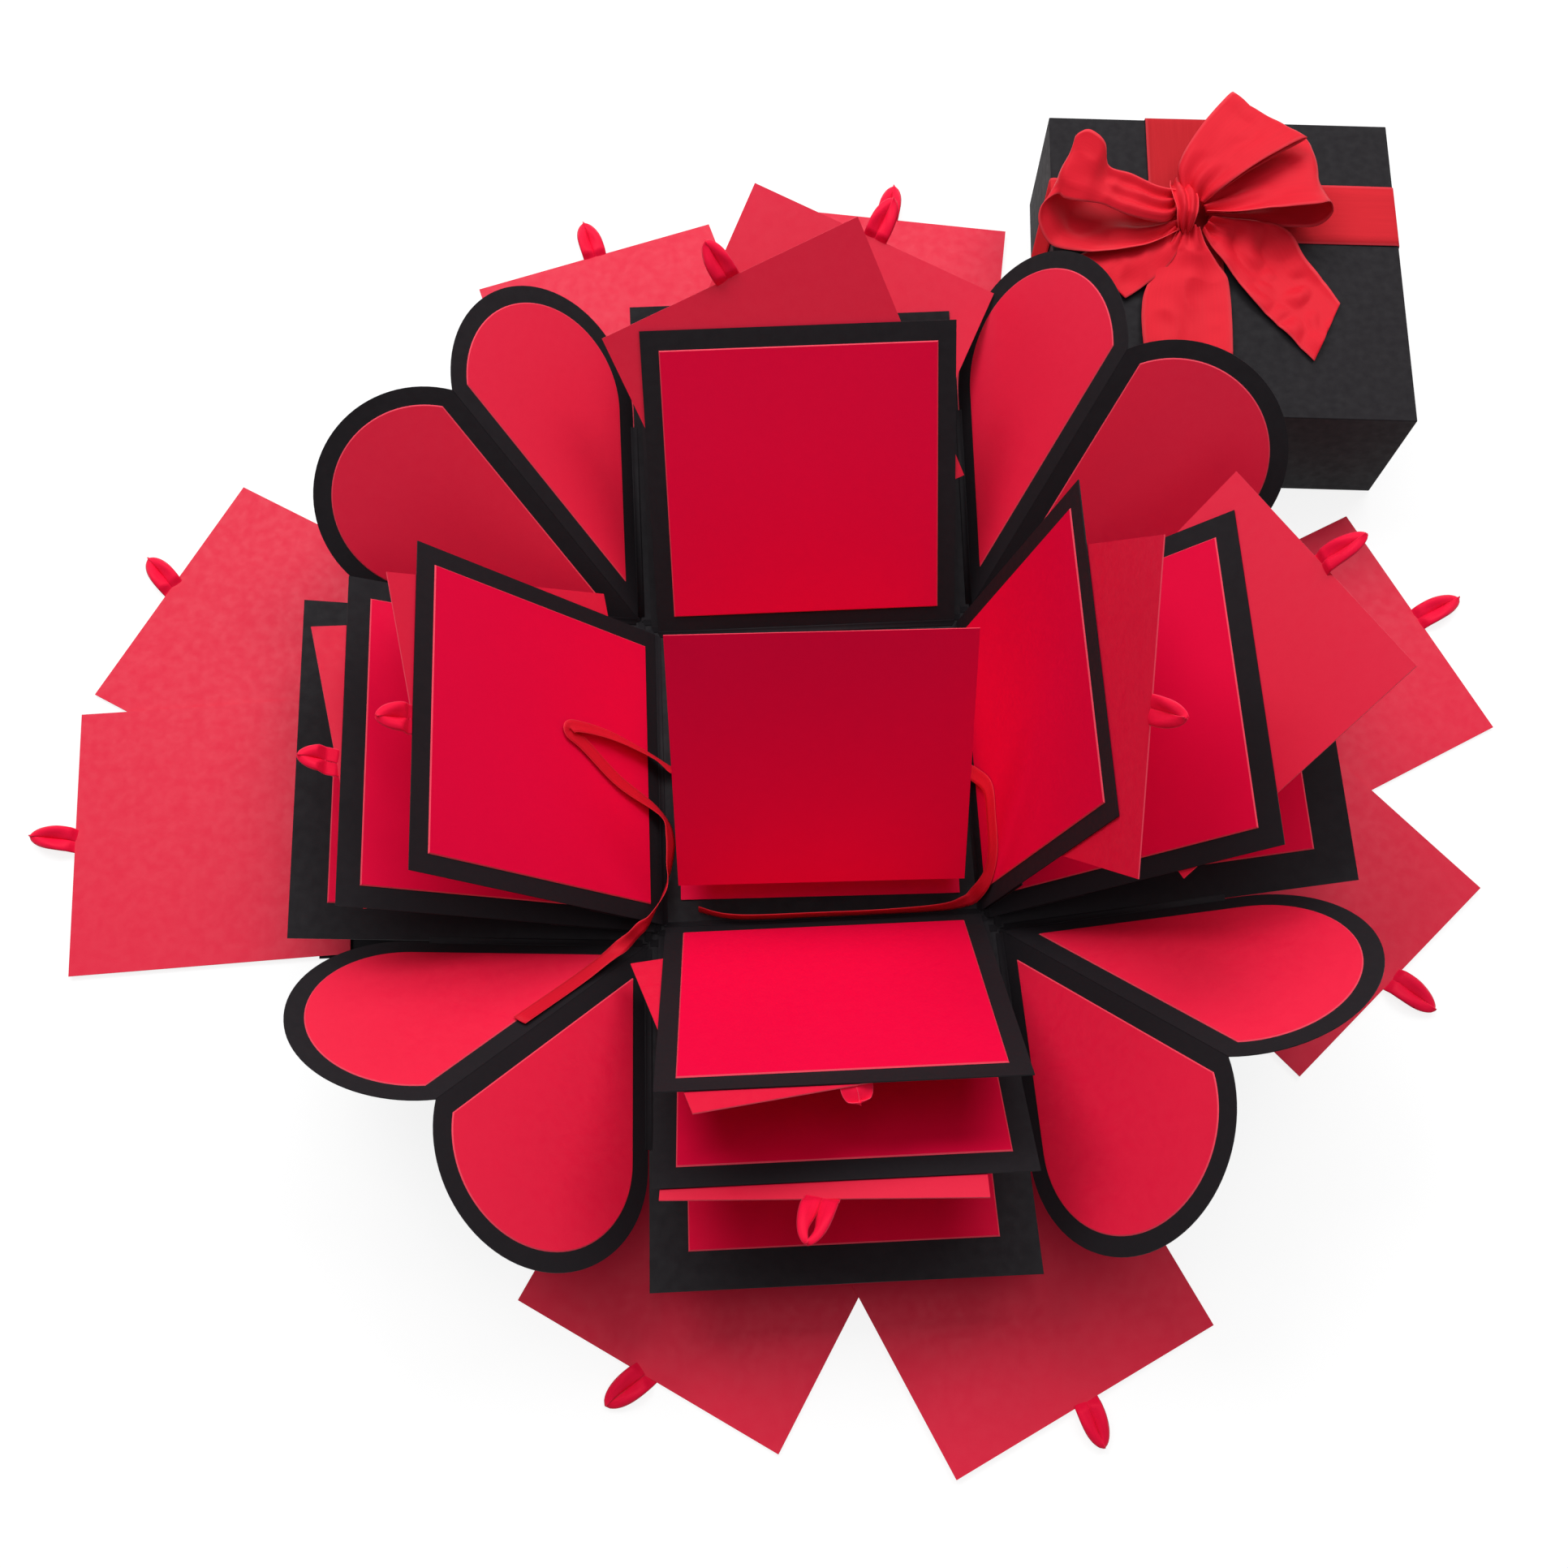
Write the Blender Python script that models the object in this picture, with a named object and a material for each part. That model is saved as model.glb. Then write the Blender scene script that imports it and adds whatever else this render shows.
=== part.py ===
"""Explosion box: three nested paper boxes that open flat into a cross, with hearts in the outer corners.

Each box is a square base with four folding panels. A panel is a folded sheet, and its fold makes a pocket
that holds pull cards. Half hearts join the outer panels. An accordion album stands on the innermost base,
with a tie ribbon under it, and the lid with its ribbon and bow stands behind the open box, on the right.

Frame: metres, Z up, origin under the middle of the base. The back side faces +Y and the right side +X.
In a side's own frame, X runs along its fold, Y goes up the panel and Z is the panel's inner face.
"""
import math

import bmesh
import bpy
from mathutils import Matrix, Vector

# Paper and ribbon stock
BLACK_SHEET = 0.0005
CARD_SHEET = 0.0005
MAT_SHEET = 0.00035
RIBBON_SHEET = 0.0004
GAP = 0.0003

# The three boxes
INNER_SIDE = 0.136
MIDDLE_SIDE = 0.142
OUTER_SIDE = 0.150
INNER_HEIGHT = 0.134
MIDDLE_HEIGHT = 0.138
OUTER_HEIGHT = 0.148
INNER_MAT_INSET = 0.0083
MIDDLE_MAT_INSET = 0.0093
OUTER_MAT_INSET = 0.015
FOLD_LAND = 0.00015
FOLD_START = 0.0004

# Pockets of the panels
INNER_POCKET_START = 0.0018
INNER_POCKET_DEPTH = 0.042
MIDDLE_POCKET_START = 0.0042
MIDDLE_POCKET_DEPTH = 0.048
OUTER_POCKET_DEPTH = 0.140

# Pull cards
CARD_SIDE = 0.1185
TAB_LENGTH = 0.0195
TAB_WIDTH = 0.0092
TAB_FOOT = 0.0030

# Hearts in the corners of the outer box
HEART_HALF_ANGLE = 46.5
HEART_LOBE_SHARE = 0.5027
HEART_HINGE_GAP = 0.0006
HEART_HINGE_LAND = 0.0003
HEART_TIP_CUT = 0.004
HEART_MAT_TIP_CUT = 0.0005
HEART_BORDER = 0.0075
HEART_ARC_STEPS = 24

# Album
ALBUM_SIDE = 0.120
ALBUM_X = 0.0006
ALBUM_BACK_Y = 0.062
ALBUM_TURN = -1.1
ALBUM_LEAF_TILT = 8.3
ALBUM_COVER_TILT = 53.2

# Lid and its ribbon
LID_SIDE = 0.157
LID_HEIGHT = 0.062
LID_WALL = 0.0012
LID_X = 0.19635
LID_Y = 0.21195
LID_TURN = -4.38
LID_RIBBON_WIDTH = 0.032
LID_RIBBON_X = -0.0178
LID_RIBBON_Y = 0.0279
LID_RIBBON_FLOOR_GAP = 0.001

# Bow
BOW_SHEET = 0.0008
BOW_WIDTH = 0.030
BOW_NECK = 0.011
BOW_KNOT_WIDTH = 0.017
BOW_KNOT_LENGTH = 0.018
BOW_KNOT_HEIGHT = 0.012
BOW_LOOP_STEPS = 18

# Tie ribbon of the album
TIE_WIDTH = 0.006
TIE_SHEET = 0.0004
TIE_POINTS = 45

# Sides, as turns about Z from the back one, with the panels' tilts from level in the open box
SIDES = {"back": 0, "right": -90, "front": 180, "left": 90}
INNER_TILTS = {"back": 41.0, "right": 75.5, "front": 50.4, "left": 49.1}
MIDDLE_TILTS = {"back": 22.0, "right": 43.4, "front": 34.8, "left": 29.4}
OUTER_TILTS = {"back": 14.2, "right": 21.9, "front": 13.8, "left": 14.9}

LAYERS = {
    "inner": (INNER_SIDE, INNER_HEIGHT, INNER_MAT_INSET, INNER_TILTS, 2),
    "middle": (MIDDLE_SIDE, MIDDLE_HEIGHT, MIDDLE_MAT_INSET, MIDDLE_TILTS, 1),
    "outer": (OUTER_SIDE, OUTER_HEIGHT, OUTER_MAT_INSET, OUTER_TILTS, 0),
}

HOOKED_POCKETS = {
    "inner": (INNER_POCKET_START, INNER_POCKET_DEPTH),
    "middle": (MIDDLE_POCKET_START, MIDDLE_POCKET_DEPTH),
}

# Each card's centre, across and up its panel, as shares of the panel's side and height, and its twist
INNER_CARD_SHARES = {
    "back": (-0.044, 0.742, 22.5),
    "right": (0.108, 0.830, -23.7),
    "front": (0.069, 0.570, 13.4),
    "left": (0.046, 0.566, 13.9),
}
MIDDLE_CARD_SHARES = {
    "back": (0.082, 0.860, -26.5),
    "right": (-0.047, 0.852, 28.7),
    "front": (0.040, 0.625, -2.8),
    "left": (0.001, 0.591, 12.5),
}
OUTER_CARD_SHARES = {
    "back": ((-0.517, 0.957, 16.3), (0.277, 1.047, -9.7)),
    "right": ((-0.239, 1.020, 24.5), (0.405, 0.852, -49.5)),
    "front": ((0.323, 0.833, -31.5), (-0.444, 0.932, 25.9)),
    "left": ((0.475, 1.109, -30.6), (-0.112, 1.270, 2.2)),
}

# Each corner's two sides, the first with the corner on its clockwise end, and the heart's reach from its tip
# to its notch as a share of the outer height
HEART_CORNERS = {
    "back_right": ("back", "right", 0.910),
    "front_right": ("right", "front", 0.932),
    "front_left": ("front", "left", 0.895),
    "back_left": ("left", "back", 0.888),
}

# Bow loops: direction in the lid's plane, length, height of the far end over the lid, roll of the ribbon
# and how far the loop's two runs part, all as shares of the ribbon's width
BOW_LOOPS = {
    "up_right": (52, 1.75, 1.00, 38, 0.95),
    "right": (4, 1.95, 0.55, 62, 0.80),
    "up_left": (142, 1.72, 0.95, 80, 0.62),
    "left": (199, 1.95, 0.45, 55, 0.80),
}
# Bow tails: direction, length and end cut's slant as shares of the ribbon's width
BOW_TAILS = {"front": (-92, 2.30, 0.0), "front_right": (-46, 2.75, 0.42)}

# Routes of the tie ribbon's two ends, from the album's edge to the cut end, as shares of the inner side,
# and what each point lies on
TIE_LEFT_SHARES = (
    (-0.4412, 0.0132, 0.0206, "base"),
    (-0.4706, 0.0140, 0.0221, "base"),
    (-0.5404, 0.0471, 0.0787, "left"),
    (-0.6507, 0.0721, 0.2081, "left"),
    (-0.7441, 0.0676, 0.3176, "left"),
    (-0.7574, 0.0456, 0.3324, "left"),
    (-0.7154, 0.0162, 0.2838, "left"),
    (-0.6235, -0.0691, 0.1772, "left"),
    (-0.5147, -0.1360, 0.0500, "left"),
    (-0.4743, -0.2140, 0.0235, "base"),
    (-0.4794, -0.3088, 0.0265, "base"),
    (-0.5110, -0.4007, 0.0441, "left"),
    (-0.5529, -0.5000, 0.1000, "left"),
    (-0.5772, -0.5309, 0.1176, "left"),
    (-0.6118, -0.5676, 0.1162, "left"),
    (-0.6618, -0.6140, 0.1324, "heart"),
    (-0.7551, -0.7015, 0.1971, "heart"),
    (-0.9022, -0.8456, 0.3625, "heart"),
)
TIE_RIGHT_SHARES = (
    (0.4507, -0.0074, 0.0206, "base"),
    (0.4779, -0.0118, 0.0309, "base"),
    (0.5059, -0.0699, 0.1103, "right"),
    (0.5309, -0.1471, 0.1926, "right"),
    (0.5309, -0.2426, 0.1926, "right"),
    (0.5294, -0.3529, 0.1838, "right"),
    (0.5147, -0.4228, 0.1213, "right"),
    (0.4816, -0.4522, 0.0412, "base"),
    (0.4412, -0.4728, 0.0265, "base"),
    (0.3676, -0.4912, 0.0353, "front"),
    (0.1838, -0.5118, 0.0412, "front"),
    (-0.0147, -0.5118, 0.0412, "front"),
    (-0.2074, -0.5059, 0.0397, "front"),
    (-0.2941, -0.4882, 0.0353, "front"),
    (-0.3456, -0.4721, 0.0265, "base"),
    (-0.3897, -0.4559, 0.0213, "base"),
)

BLACK = ("black_card", (0.018, 0.016, 0.022), 0.75, 0.0)
RED = ("red_card", (0.62, 0.012, 0.045), 0.70, 0.0)
SATIN = ("red_satin", (0.66, 0.010, 0.040), 0.35, 0.0)


def clear_scene():
    for item in list(bpy.data.objects):
        bpy.data.objects.remove(item, do_unlink=True)


def material(name, recipe):
    """A Principled material for one object, from its recipe's colour, roughness and metallic value."""
    made = bpy.data.materials.new(name + "_" + recipe[0])
    made.use_nodes = True
    shader = made.node_tree.nodes["Principled BSDF"]
    shader.inputs["Base Color"].default_value = (*recipe[1], 1.0)
    shader.inputs["Roughness"].default_value = recipe[2]
    shader.inputs["Metallic"].default_value = recipe[3]
    return made


def add_object(name, mesh, recipe, placed, parent=None, second=None):
    """Link a mesh as an object at a world matrix, kept while it is parented."""
    thing = bpy.data.objects.new(name, mesh)
    bpy.context.scene.collection.objects.link(thing)
    mesh.materials.append(material(name, recipe))
    if second:
        mesh.materials.append(material(name, second))
    if parent:
        thing.parent = parent
        thing.matrix_parent_inverse = Matrix(parent["placed"]).inverted()
    thing.matrix_basis = placed
    thing["placed"] = [list(row) for row in placed]
    return thing


def prism(outline, low, high):
    """A closed prism over a flat outline, between two heights."""
    form = bmesh.new()
    bottom = [form.verts.new((x, y, low)) for x, y in outline]
    top = [form.verts.new((x, y, high)) for x, y in outline]
    form.faces.new(bottom)
    form.faces.new(top)
    count = len(outline)
    for index in range(count):
        after = (index + 1) % count
        form.faces.new((bottom[index], bottom[after], top[after], top[index]))
    return finished(form)


def finished(form):
    """Turn a bmesh into a mesh with its faces pointing out."""
    bmesh.ops.recalc_face_normals(form, faces=form.faces)
    mesh = bpy.data.meshes.new("shape")
    form.to_mesh(mesh)
    form.free()
    return mesh


def profile_along_fold(profile, width):
    """A closed prism whose section, in the Y and Z of a side's frame, runs the whole width of the fold."""
    mesh = prism([(y, z) for y, z in profile], -width / 2, width / 2)
    mesh.transform(Matrix(((0, 0, 1, 0), (1, 0, 0, 0), (0, 1, 0, 0), (0, 0, 0, 1))))
    return mesh


def rectangle(left, right, low, high):
    return [(left, low), (right, low), (right, high), (left, high)]


def base_level(layer):
    """Height of the middle of a box's base sheet, which is also the height of its folds."""
    stacked = LAYERS[layer][4]
    return BLACK_SHEET / 2 + stacked * (BLACK_SHEET + GAP)


def side_frame(side, layer):
    """Matrix of a side's fold, level, with Y pointing out of the box."""
    turn = Matrix.Rotation(math.radians(SIDES[side]), 4, "Z")
    return turn @ Matrix.Translation((0, LAYERS[layer][0] / 2, base_level(layer)))


def panel_frame(side, layer):
    tilt = LAYERS[layer][3][side]
    return side_frame(side, layer) @ Matrix.Rotation(math.radians(tilt), 4, "X")


def make_base(layer):
    half = LAYERS[layer][0] / 2 - FOLD_LAND
    mesh = prism(rectangle(-half, half, -half, half), -BLACK_SHEET / 2, BLACK_SHEET / 2)
    return add_object("base_" + layer, mesh, BLACK, Matrix.Translation((0, 0, base_level(layer))))


def card_depth():
    """How far a card's middle lies behind the middle of the panel that covers it."""
    return BLACK_SHEET / 2 + GAP + CARD_SHEET / 2


def hooked_profile(height, start, depth):
    """Section of an inner or middle panel: the sheet, and a low leaf behind it that holds the card."""
    half = BLACK_SHEET / 2
    leaf_front = -(card_depth() + CARD_SHEET / 2 + GAP)
    leaf_back = leaf_front - BLACK_SHEET
    web = start + BLACK_SHEET
    return [
        (FOLD_START, half), (FOLD_START, -half), (start, -half), (start, leaf_back),
        (depth, leaf_back), (depth, leaf_front), (web, leaf_front), (web, -half),
        (height, -half), (height, half),
    ]


def open_profile(height, depth, tilt):
    """Section of an outer panel: the tilted sheet and its back leaf, which lies on the table."""
    half = BLACK_SHEET / 2
    rise = math.tan(tilt)
    meet = (half + half / math.cos(tilt)) / rise
    level = [
        (FOLD_START, -half), (depth, -half), (depth, half), (meet, half),
        (height * math.cos(tilt) + half * math.sin(tilt), height * math.sin(tilt) - half * math.cos(tilt)),
        (height * math.cos(tilt) - half * math.sin(tilt), height * math.sin(tilt) + half * math.cos(tilt)),
        (FOLD_START, FOLD_START * rise + half / math.cos(tilt)),
    ]
    return [(out * math.cos(tilt) + up * math.sin(tilt), up * math.cos(tilt) - out * math.sin(tilt))
            for out, up in level]


def make_panel(side, layer):
    """A folded panel; those of the inner and middle boxes stop short of their neighbours when they fold up."""
    width, height, inset, tilts, stacked = LAYERS[layer]
    if layer == "outer":
        profile = open_profile(height, OUTER_POCKET_DEPTH, math.radians(tilts[side]))
    else:
        start, depth = HOOKED_POCKETS[layer]
        profile = hooked_profile(height, start, depth)
        width -= BLACK_SHEET + 2 * GAP
    name = "panel_{}_{}".format(layer, side)
    return add_object(name, profile_along_fold(profile, width), BLACK, panel_frame(side, layer))


def make_mat(side, layer, panel):
    width, height, inset, tilts, stacked = LAYERS[layer]
    low = BLACK_SHEET / 2 + GAP
    outline = rectangle(inset - width / 2, width / 2 - inset, inset, height - inset)
    mesh = prism(outline, low, low + MAT_SHEET)
    return add_object("mat_{}_{}".format(layer, side), mesh, RED, panel_frame(side, layer), panel)


def card_outline():
    """A square card with the flattened ribbon loop that pulls it."""
    half = CARD_SIDE / 2
    foot = TAB_FOOT / 2
    belly = TAB_WIDTH / 2
    waist = half + TAB_LENGTH / 2
    return [(-half, -half), (half, -half), (half, half), (foot, half), (belly, waist),
            (foot / 2, half + TAB_LENGTH), (-foot / 2, half + TAB_LENGTH), (-belly, waist),
            (-foot, half), (-half, half)]


def card_mesh():
    return prism(card_outline(), -CARD_SHEET / 2, CARD_SHEET / 2)


def make_pocket_card(side, layer, shares, panel):
    """A card behind an inner or middle panel, in the panel's own slope."""
    width, height, inset, tilts, stacked = LAYERS[layer]
    across, up, twist = shares
    place = panel_frame(side, layer) @ Matrix.Translation((across * width, up * height, -card_depth()))
    place = place @ Matrix.Rotation(math.radians(twist), 4, "Z")
    return add_object("card_{}_{}".format(layer, side), card_mesh(), RED, place, panel)


def make_flat_card(side, number, shares, panel):
    """A card of the outer box, flat on the back leaf of its pocket or on the card before it."""
    across, out, twist = shares
    rise = card_depth() + number * (CARD_SHEET + GAP)
    place = side_frame(side, "outer") @ Matrix.Translation((across * OUTER_SIDE, out * OUTER_HEIGHT, rise))
    place = place @ Matrix.Rotation(math.radians(twist), 4, "Z")
    name = "card_outer_{}_{}".format(side, number + 1)
    return add_object(name, card_mesh(), RED, place, panel)


def edge_direction(side):
    return (panel_frame(side, "outer").to_3x3() @ Vector((0, 1, 0))).normalized()


def heart_ridge(first, second):
    """Direction of a heart's centre fold, at the half angle from both outer panels' side edges."""
    one = edge_direction(first)
    two = edge_direction(second)
    flat = (one + two) * (math.cos(math.radians(HEART_HALF_ANGLE)) / (1 + one.dot(two)))
    down = one.cross(two).normalized()
    if down.z > 0:
        down = -down
    return flat - down * math.sqrt(1 - flat.length_squared)


def heart_outline(reach, inset, cut):
    """Half a heart: X along its hinge, a straight centre fold, and a round lobe a little past the notch."""
    half_angle = math.radians(HEART_HALF_ANGLE)
    width = reach * math.sin(half_angle)
    lobe = width * HEART_LOBE_SHARE
    middle = reach * math.cos(half_angle) + math.sqrt(lobe ** 2 - (width - lobe) ** 2)
    round_part = lobe - inset
    start = -math.pi / 2
    from_fold = middle * math.sin(half_angle) - lobe * math.cos(half_angle)
    end = half_angle + math.asin((from_fold - inset) / round_part)
    points = []
    for step in range(HEART_ARC_STEPS + 1):
        turn = start + (end - start) * step / HEART_ARC_STEPS
        points.append((middle + round_part * math.cos(turn), lobe + round_part * math.sin(turn)))
    tip = inset / math.tan(half_angle / 2)
    points.append((tip + cut * math.cos(half_angle), inset + cut * math.sin(half_angle)))
    points.append((tip + cut, inset))
    return points


def heart_mesh(reach, top):
    """Half a heart as a black sheet, with the red mat raised from its upper face."""
    border = heart_outline(reach, HEART_HINGE_LAND, HEART_TIP_CUT)
    patch = heart_outline(reach, HEART_BORDER, HEART_MAT_TIP_CUT)
    half = BLACK_SHEET / 2
    raised = half + MAT_SHEET
    form = bmesh.new()
    under = [form.verts.new((x, y, -half * top)) for x, y in border]
    over = [form.verts.new((x, y, half * top)) for x, y in border]
    foot = [form.verts.new((x, y, half * top)) for x, y in patch]
    crown = [form.verts.new((x, y, raised * top)) for x, y in patch]
    count = len(border)
    form.faces.new(under)
    red_faces = [form.faces.new(crown)]
    for index in range(count):
        after = (index + 1) % count
        form.faces.new((under[index], under[after], over[after], over[index]))
        form.faces.new((over[index], over[after], foot[after], foot[index]))
        red_faces.append(form.faces.new((foot[index], foot[after], crown[after], crown[index])))
    for face in red_faces:
        face.material_index = 1
    return finished(form)


def make_heart_half(corner, side, other, end, reach, panel):
    """Half a heart, hinged on a side edge of its outer panel: end is 1 on the clockwise end, -1 on the other."""
    frame = panel_frame(side, "outer")
    ridge = frame.to_3x3().inverted() @ heart_ridge(side, other)
    fold = math.atan2(ridge.z, ridge.x * end)
    tip = (end * (OUTER_SIDE / 2 + HEART_HINGE_GAP), HEART_HINGE_GAP, 0)
    along = Vector((0, 1, 0))
    across = Vector((end * math.cos(fold), 0, math.sin(fold)))
    turn = Matrix((along, across, along.cross(across))).transposed().to_4x4()
    place = frame @ Matrix.Translation(tip) @ turn
    name = "heart_{}_on_{}".format(corner, side)
    return add_object(name, heart_mesh(reach * OUTER_HEIGHT, -end), BLACK, place, panel, RED)


def album_level():
    """Height of the album's lowest fold, in the middle of the gap over its bottom leaf."""
    return base_level("inner") + BLACK_SHEET / 2 + GAP + CARD_SHEET + GAP / 2


def make_album():
    turn = Matrix.Rotation(math.radians(ALBUM_TURN), 4, "Z")
    back_fold = turn @ Matrix.Translation((ALBUM_X, ALBUM_BACK_Y, album_level()))
    half = ALBUM_SIDE / 2
    top = -GAP / 2
    bottom_mesh = prism(rectangle(-half, half, -ALBUM_SIDE, 0), top - CARD_SHEET, top)
    bottom = add_object("album_bottom_leaf", bottom_mesh, RED, back_fold)
    leaf_place = back_fold @ Matrix.Rotation(math.radians(-ALBUM_LEAF_TILT), 4, "X")
    low = GAP / 2
    leaf_mesh = prism(rectangle(-half, half, FOLD_START - ALBUM_SIDE, -FOLD_START), low, low + CARD_SHEET)
    leaf = add_object("album_middle_leaf", leaf_mesh, RED, leaf_place, bottom)
    front_fold = leaf_place @ Matrix.Translation((0, -ALBUM_SIDE, GAP + CARD_SHEET))
    rise = ALBUM_COVER_TILT + ALBUM_LEAF_TILT
    cover_place = front_fold @ Matrix.Rotation(math.radians(rise), 4, "X")
    cover_mesh = prism(rectangle(-half, half, FOLD_START, ALBUM_SIDE), low, low + CARD_SHEET)
    add_object("album_cover", cover_mesh, RED, cover_place, leaf)


def lid_frame(height):
    return Matrix.Translation((LID_X, LID_Y, height)) @ Matrix.Rotation(math.radians(LID_TURN), 4, "Z")


def make_lid():
    """The lid: a box open at the bottom, standing on its rim."""
    form = bmesh.new()
    outer = LID_SIDE / 2
    inner = outer - LID_WALL
    rings = []
    for half, height in ((outer, 0), (outer, LID_HEIGHT), (inner, 0), (inner, LID_HEIGHT - LID_WALL)):
        rings.append([form.verts.new((x, y, height)) for x, y in rectangle(-half, half, -half, half)])
    rim_out, top_out, rim_in, top_in = rings
    form.faces.new(top_out)
    form.faces.new(top_in)
    for index in range(len(rim_out)):
        after = (index + 1) % len(rim_out)
        form.faces.new((rim_out[index], rim_out[after], top_out[after], top_out[index]))
        form.faces.new((rim_in[index], rim_in[after], top_in[after], top_in[index]))
        form.faces.new((rim_out[index], rim_out[after], rim_in[after], rim_in[index]))
    return add_object("lid", finished(form), BLACK, lid_frame(0))


def make_lid_ribbon(lid):
    """The ribbon round the lid: a cross on the top and a flap down each wall."""
    form = bmesh.new()
    reach = LID_SIDE / 2 + GAP
    top = LID_HEIGHT + GAP
    half = LID_RIBBON_WIDTH / 2
    columns = (-reach, LID_RIBBON_X - half, LID_RIBBON_X + half, reach)
    rows = (-reach, LID_RIBBON_Y - half, LID_RIBBON_Y + half, reach)
    corners = {}
    for column in range(4):
        for row in range(4):
            if column in (1, 2) or row in (1, 2):
                corners[column, row] = form.verts.new((columns[column], rows[row], top))
    for column, row in ((0, 1), (1, 1), (2, 1), (1, 0), (1, 2)):
        form.faces.new((corners[column, row], corners[column + 1, row],
                        corners[column + 1, row + 1], corners[column, row + 1]))
    for first, second in (((0, 1), (0, 2)), ((3, 2), (3, 1)), ((2, 0), (1, 0)), ((1, 3), (2, 3))):
        upper = (corners[first], corners[second])
        lower = [form.verts.new((point.co.x, point.co.y, LID_RIBBON_FLOOR_GAP)) for point in upper]
        form.faces.new((upper[0], upper[1], lower[1], lower[0]))
    mesh = finished(form)
    ribbon = add_object("lid_ribbon", mesh, SATIN, lid_frame(0), lid)
    thick = ribbon.modifiers.new("thickness", "SOLIDIFY")
    thick.thickness = RIBBON_SHEET
    thick.offset = 1.0
    thick.use_even_offset = True
    return ribbon


def strip_solid(rows, thickness):
    """A closed band from rows of (centre, half width vector, face normal)."""
    form = bmesh.new()
    rings = []
    for centre, across, normal in rows:
        lift = normal * (thickness / 2)
        rings.append([form.verts.new(centre - across - lift), form.verts.new(centre + across - lift),
                      form.verts.new(centre + across + lift), form.verts.new(centre - across + lift)])
    for before, after in zip(rings, rings[1:]):
        for index in range(4):
            following = (index + 1) % 4
            form.faces.new((before[index], before[following], after[following], after[index]))
    form.faces.new(rings[0])
    form.faces.new(rings[-1])
    return finished(form)


def bow_knot_centre():
    height = LID_HEIGHT + GAP + RIBBON_SHEET + GAP + BOW_SHEET + GAP + BOW_KNOT_HEIGHT / 2
    return Vector((LID_RIBBON_X, LID_RIBBON_Y, height))


def bow_loop_rows(shares):
    """Rows of one bow loop, out from the knot and back, widest at its far end."""
    heading, length, rise, roll, part = shares
    turn = math.radians(heading)
    forward = Vector((math.cos(turn), math.sin(turn), 0))
    sideways = Vector((-math.sin(turn), math.cos(turn), 0))
    up = Vector((0, 0, 1))
    lean = math.radians(roll)
    across = sideways * math.cos(lean) + up * math.sin(lean)
    apart = up * math.cos(lean) - sideways * math.sin(lean)
    rows = []
    for step in range(BOW_LOOP_STEPS + 1):
        share = step / BOW_LOOP_STEPS
        swing = math.sin(math.pi * share)
        out = length * BOW_WIDTH * swing
        spread = part * BOW_WIDTH / 2 * math.sin(2 * math.pi * share)
        seam = BOW_SHEET * math.cos(math.pi * share)
        centre = forward * out - apart * (spread + seam) + up * (rise * BOW_WIDTH * swing * swing)
        tangent = forward * math.cos(math.pi * share) - apart * (part * math.cos(2 * math.pi * share))
        normal = tangent.cross(across).normalized()
        half = BOW_NECK / 2 + (BOW_WIDTH - BOW_NECK) / 2 * swing
        drop = abs(across.z) * half + BOW_SHEET / 2
        centre.z = max(centre.z, drop + BOW_SHEET + GAP - BOW_KNOT_HEIGHT / 2)
        rows.append((centre, across * half, normal))
    return rows


def make_bow_loops(lid):
    """The knot and its four loops, joined into one solid."""
    centre = bow_knot_centre()
    form = bmesh.new()
    bmesh.ops.create_icosphere(form, subdivisions=2, radius=1.0)
    bmesh.ops.scale(form, vec=(BOW_KNOT_LENGTH / 2, BOW_KNOT_WIDTH / 2, BOW_KNOT_HEIGHT / 2), verts=form.verts)
    place = lid_frame(0) @ Matrix.Translation(centre)
    bow = add_object("bow_loops", finished(form), SATIN, place, lid)
    for name, shares in BOW_LOOPS.items():
        cutter = add_object("bow_loop_" + name, strip_solid(bow_loop_rows(shares), BOW_SHEET), SATIN, place)
        cutter.hide_render = True
        cutter.display_type = "WIRE"
        joined = bow.modifiers.new(name, "BOOLEAN")
        joined.operation = "UNION"
        joined.use_self = True
        joined.object = cutter
    return bow


def make_bow_tails(lid):
    """The two tails, flat on the lid's ribbon and crossed under the knot."""
    level = LID_HEIGHT + GAP + RIBBON_SHEET + GAP + BOW_SHEET / 2
    place = lid_frame(0) @ Matrix.Translation((LID_RIBBON_X, LID_RIBBON_Y, level))
    strips = []
    for heading, length, slant in BOW_TAILS.values():
        turn = Matrix.Rotation(math.radians(heading), 3, "Z")
        start = BOW_NECK / 2
        end = length * BOW_WIDTH
        half = BOW_WIDTH / 2
        cut = slant * BOW_WIDTH
        flat = [(-start, -start), (BOW_WIDTH, -half), (end - cut, -half), (end + cut, half),
                (BOW_WIDTH, half), (-start, start)]
        mesh = prism(flat, -BOW_SHEET / 2, BOW_SHEET / 2)
        mesh.transform(turn.to_4x4())
        strips.append(mesh)
    tails = add_object("bow_tails", strips[0], SATIN, place, lid)
    cutter = add_object("bow_tail_second", strips[1], SATIN, place)
    cutter.hide_render = True
    cutter.display_type = "WIRE"
    joined = tails.modifiers.new("second", "BOOLEAN")
    joined.operation = "UNION"
    joined.object = cutter
    return tails


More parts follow.
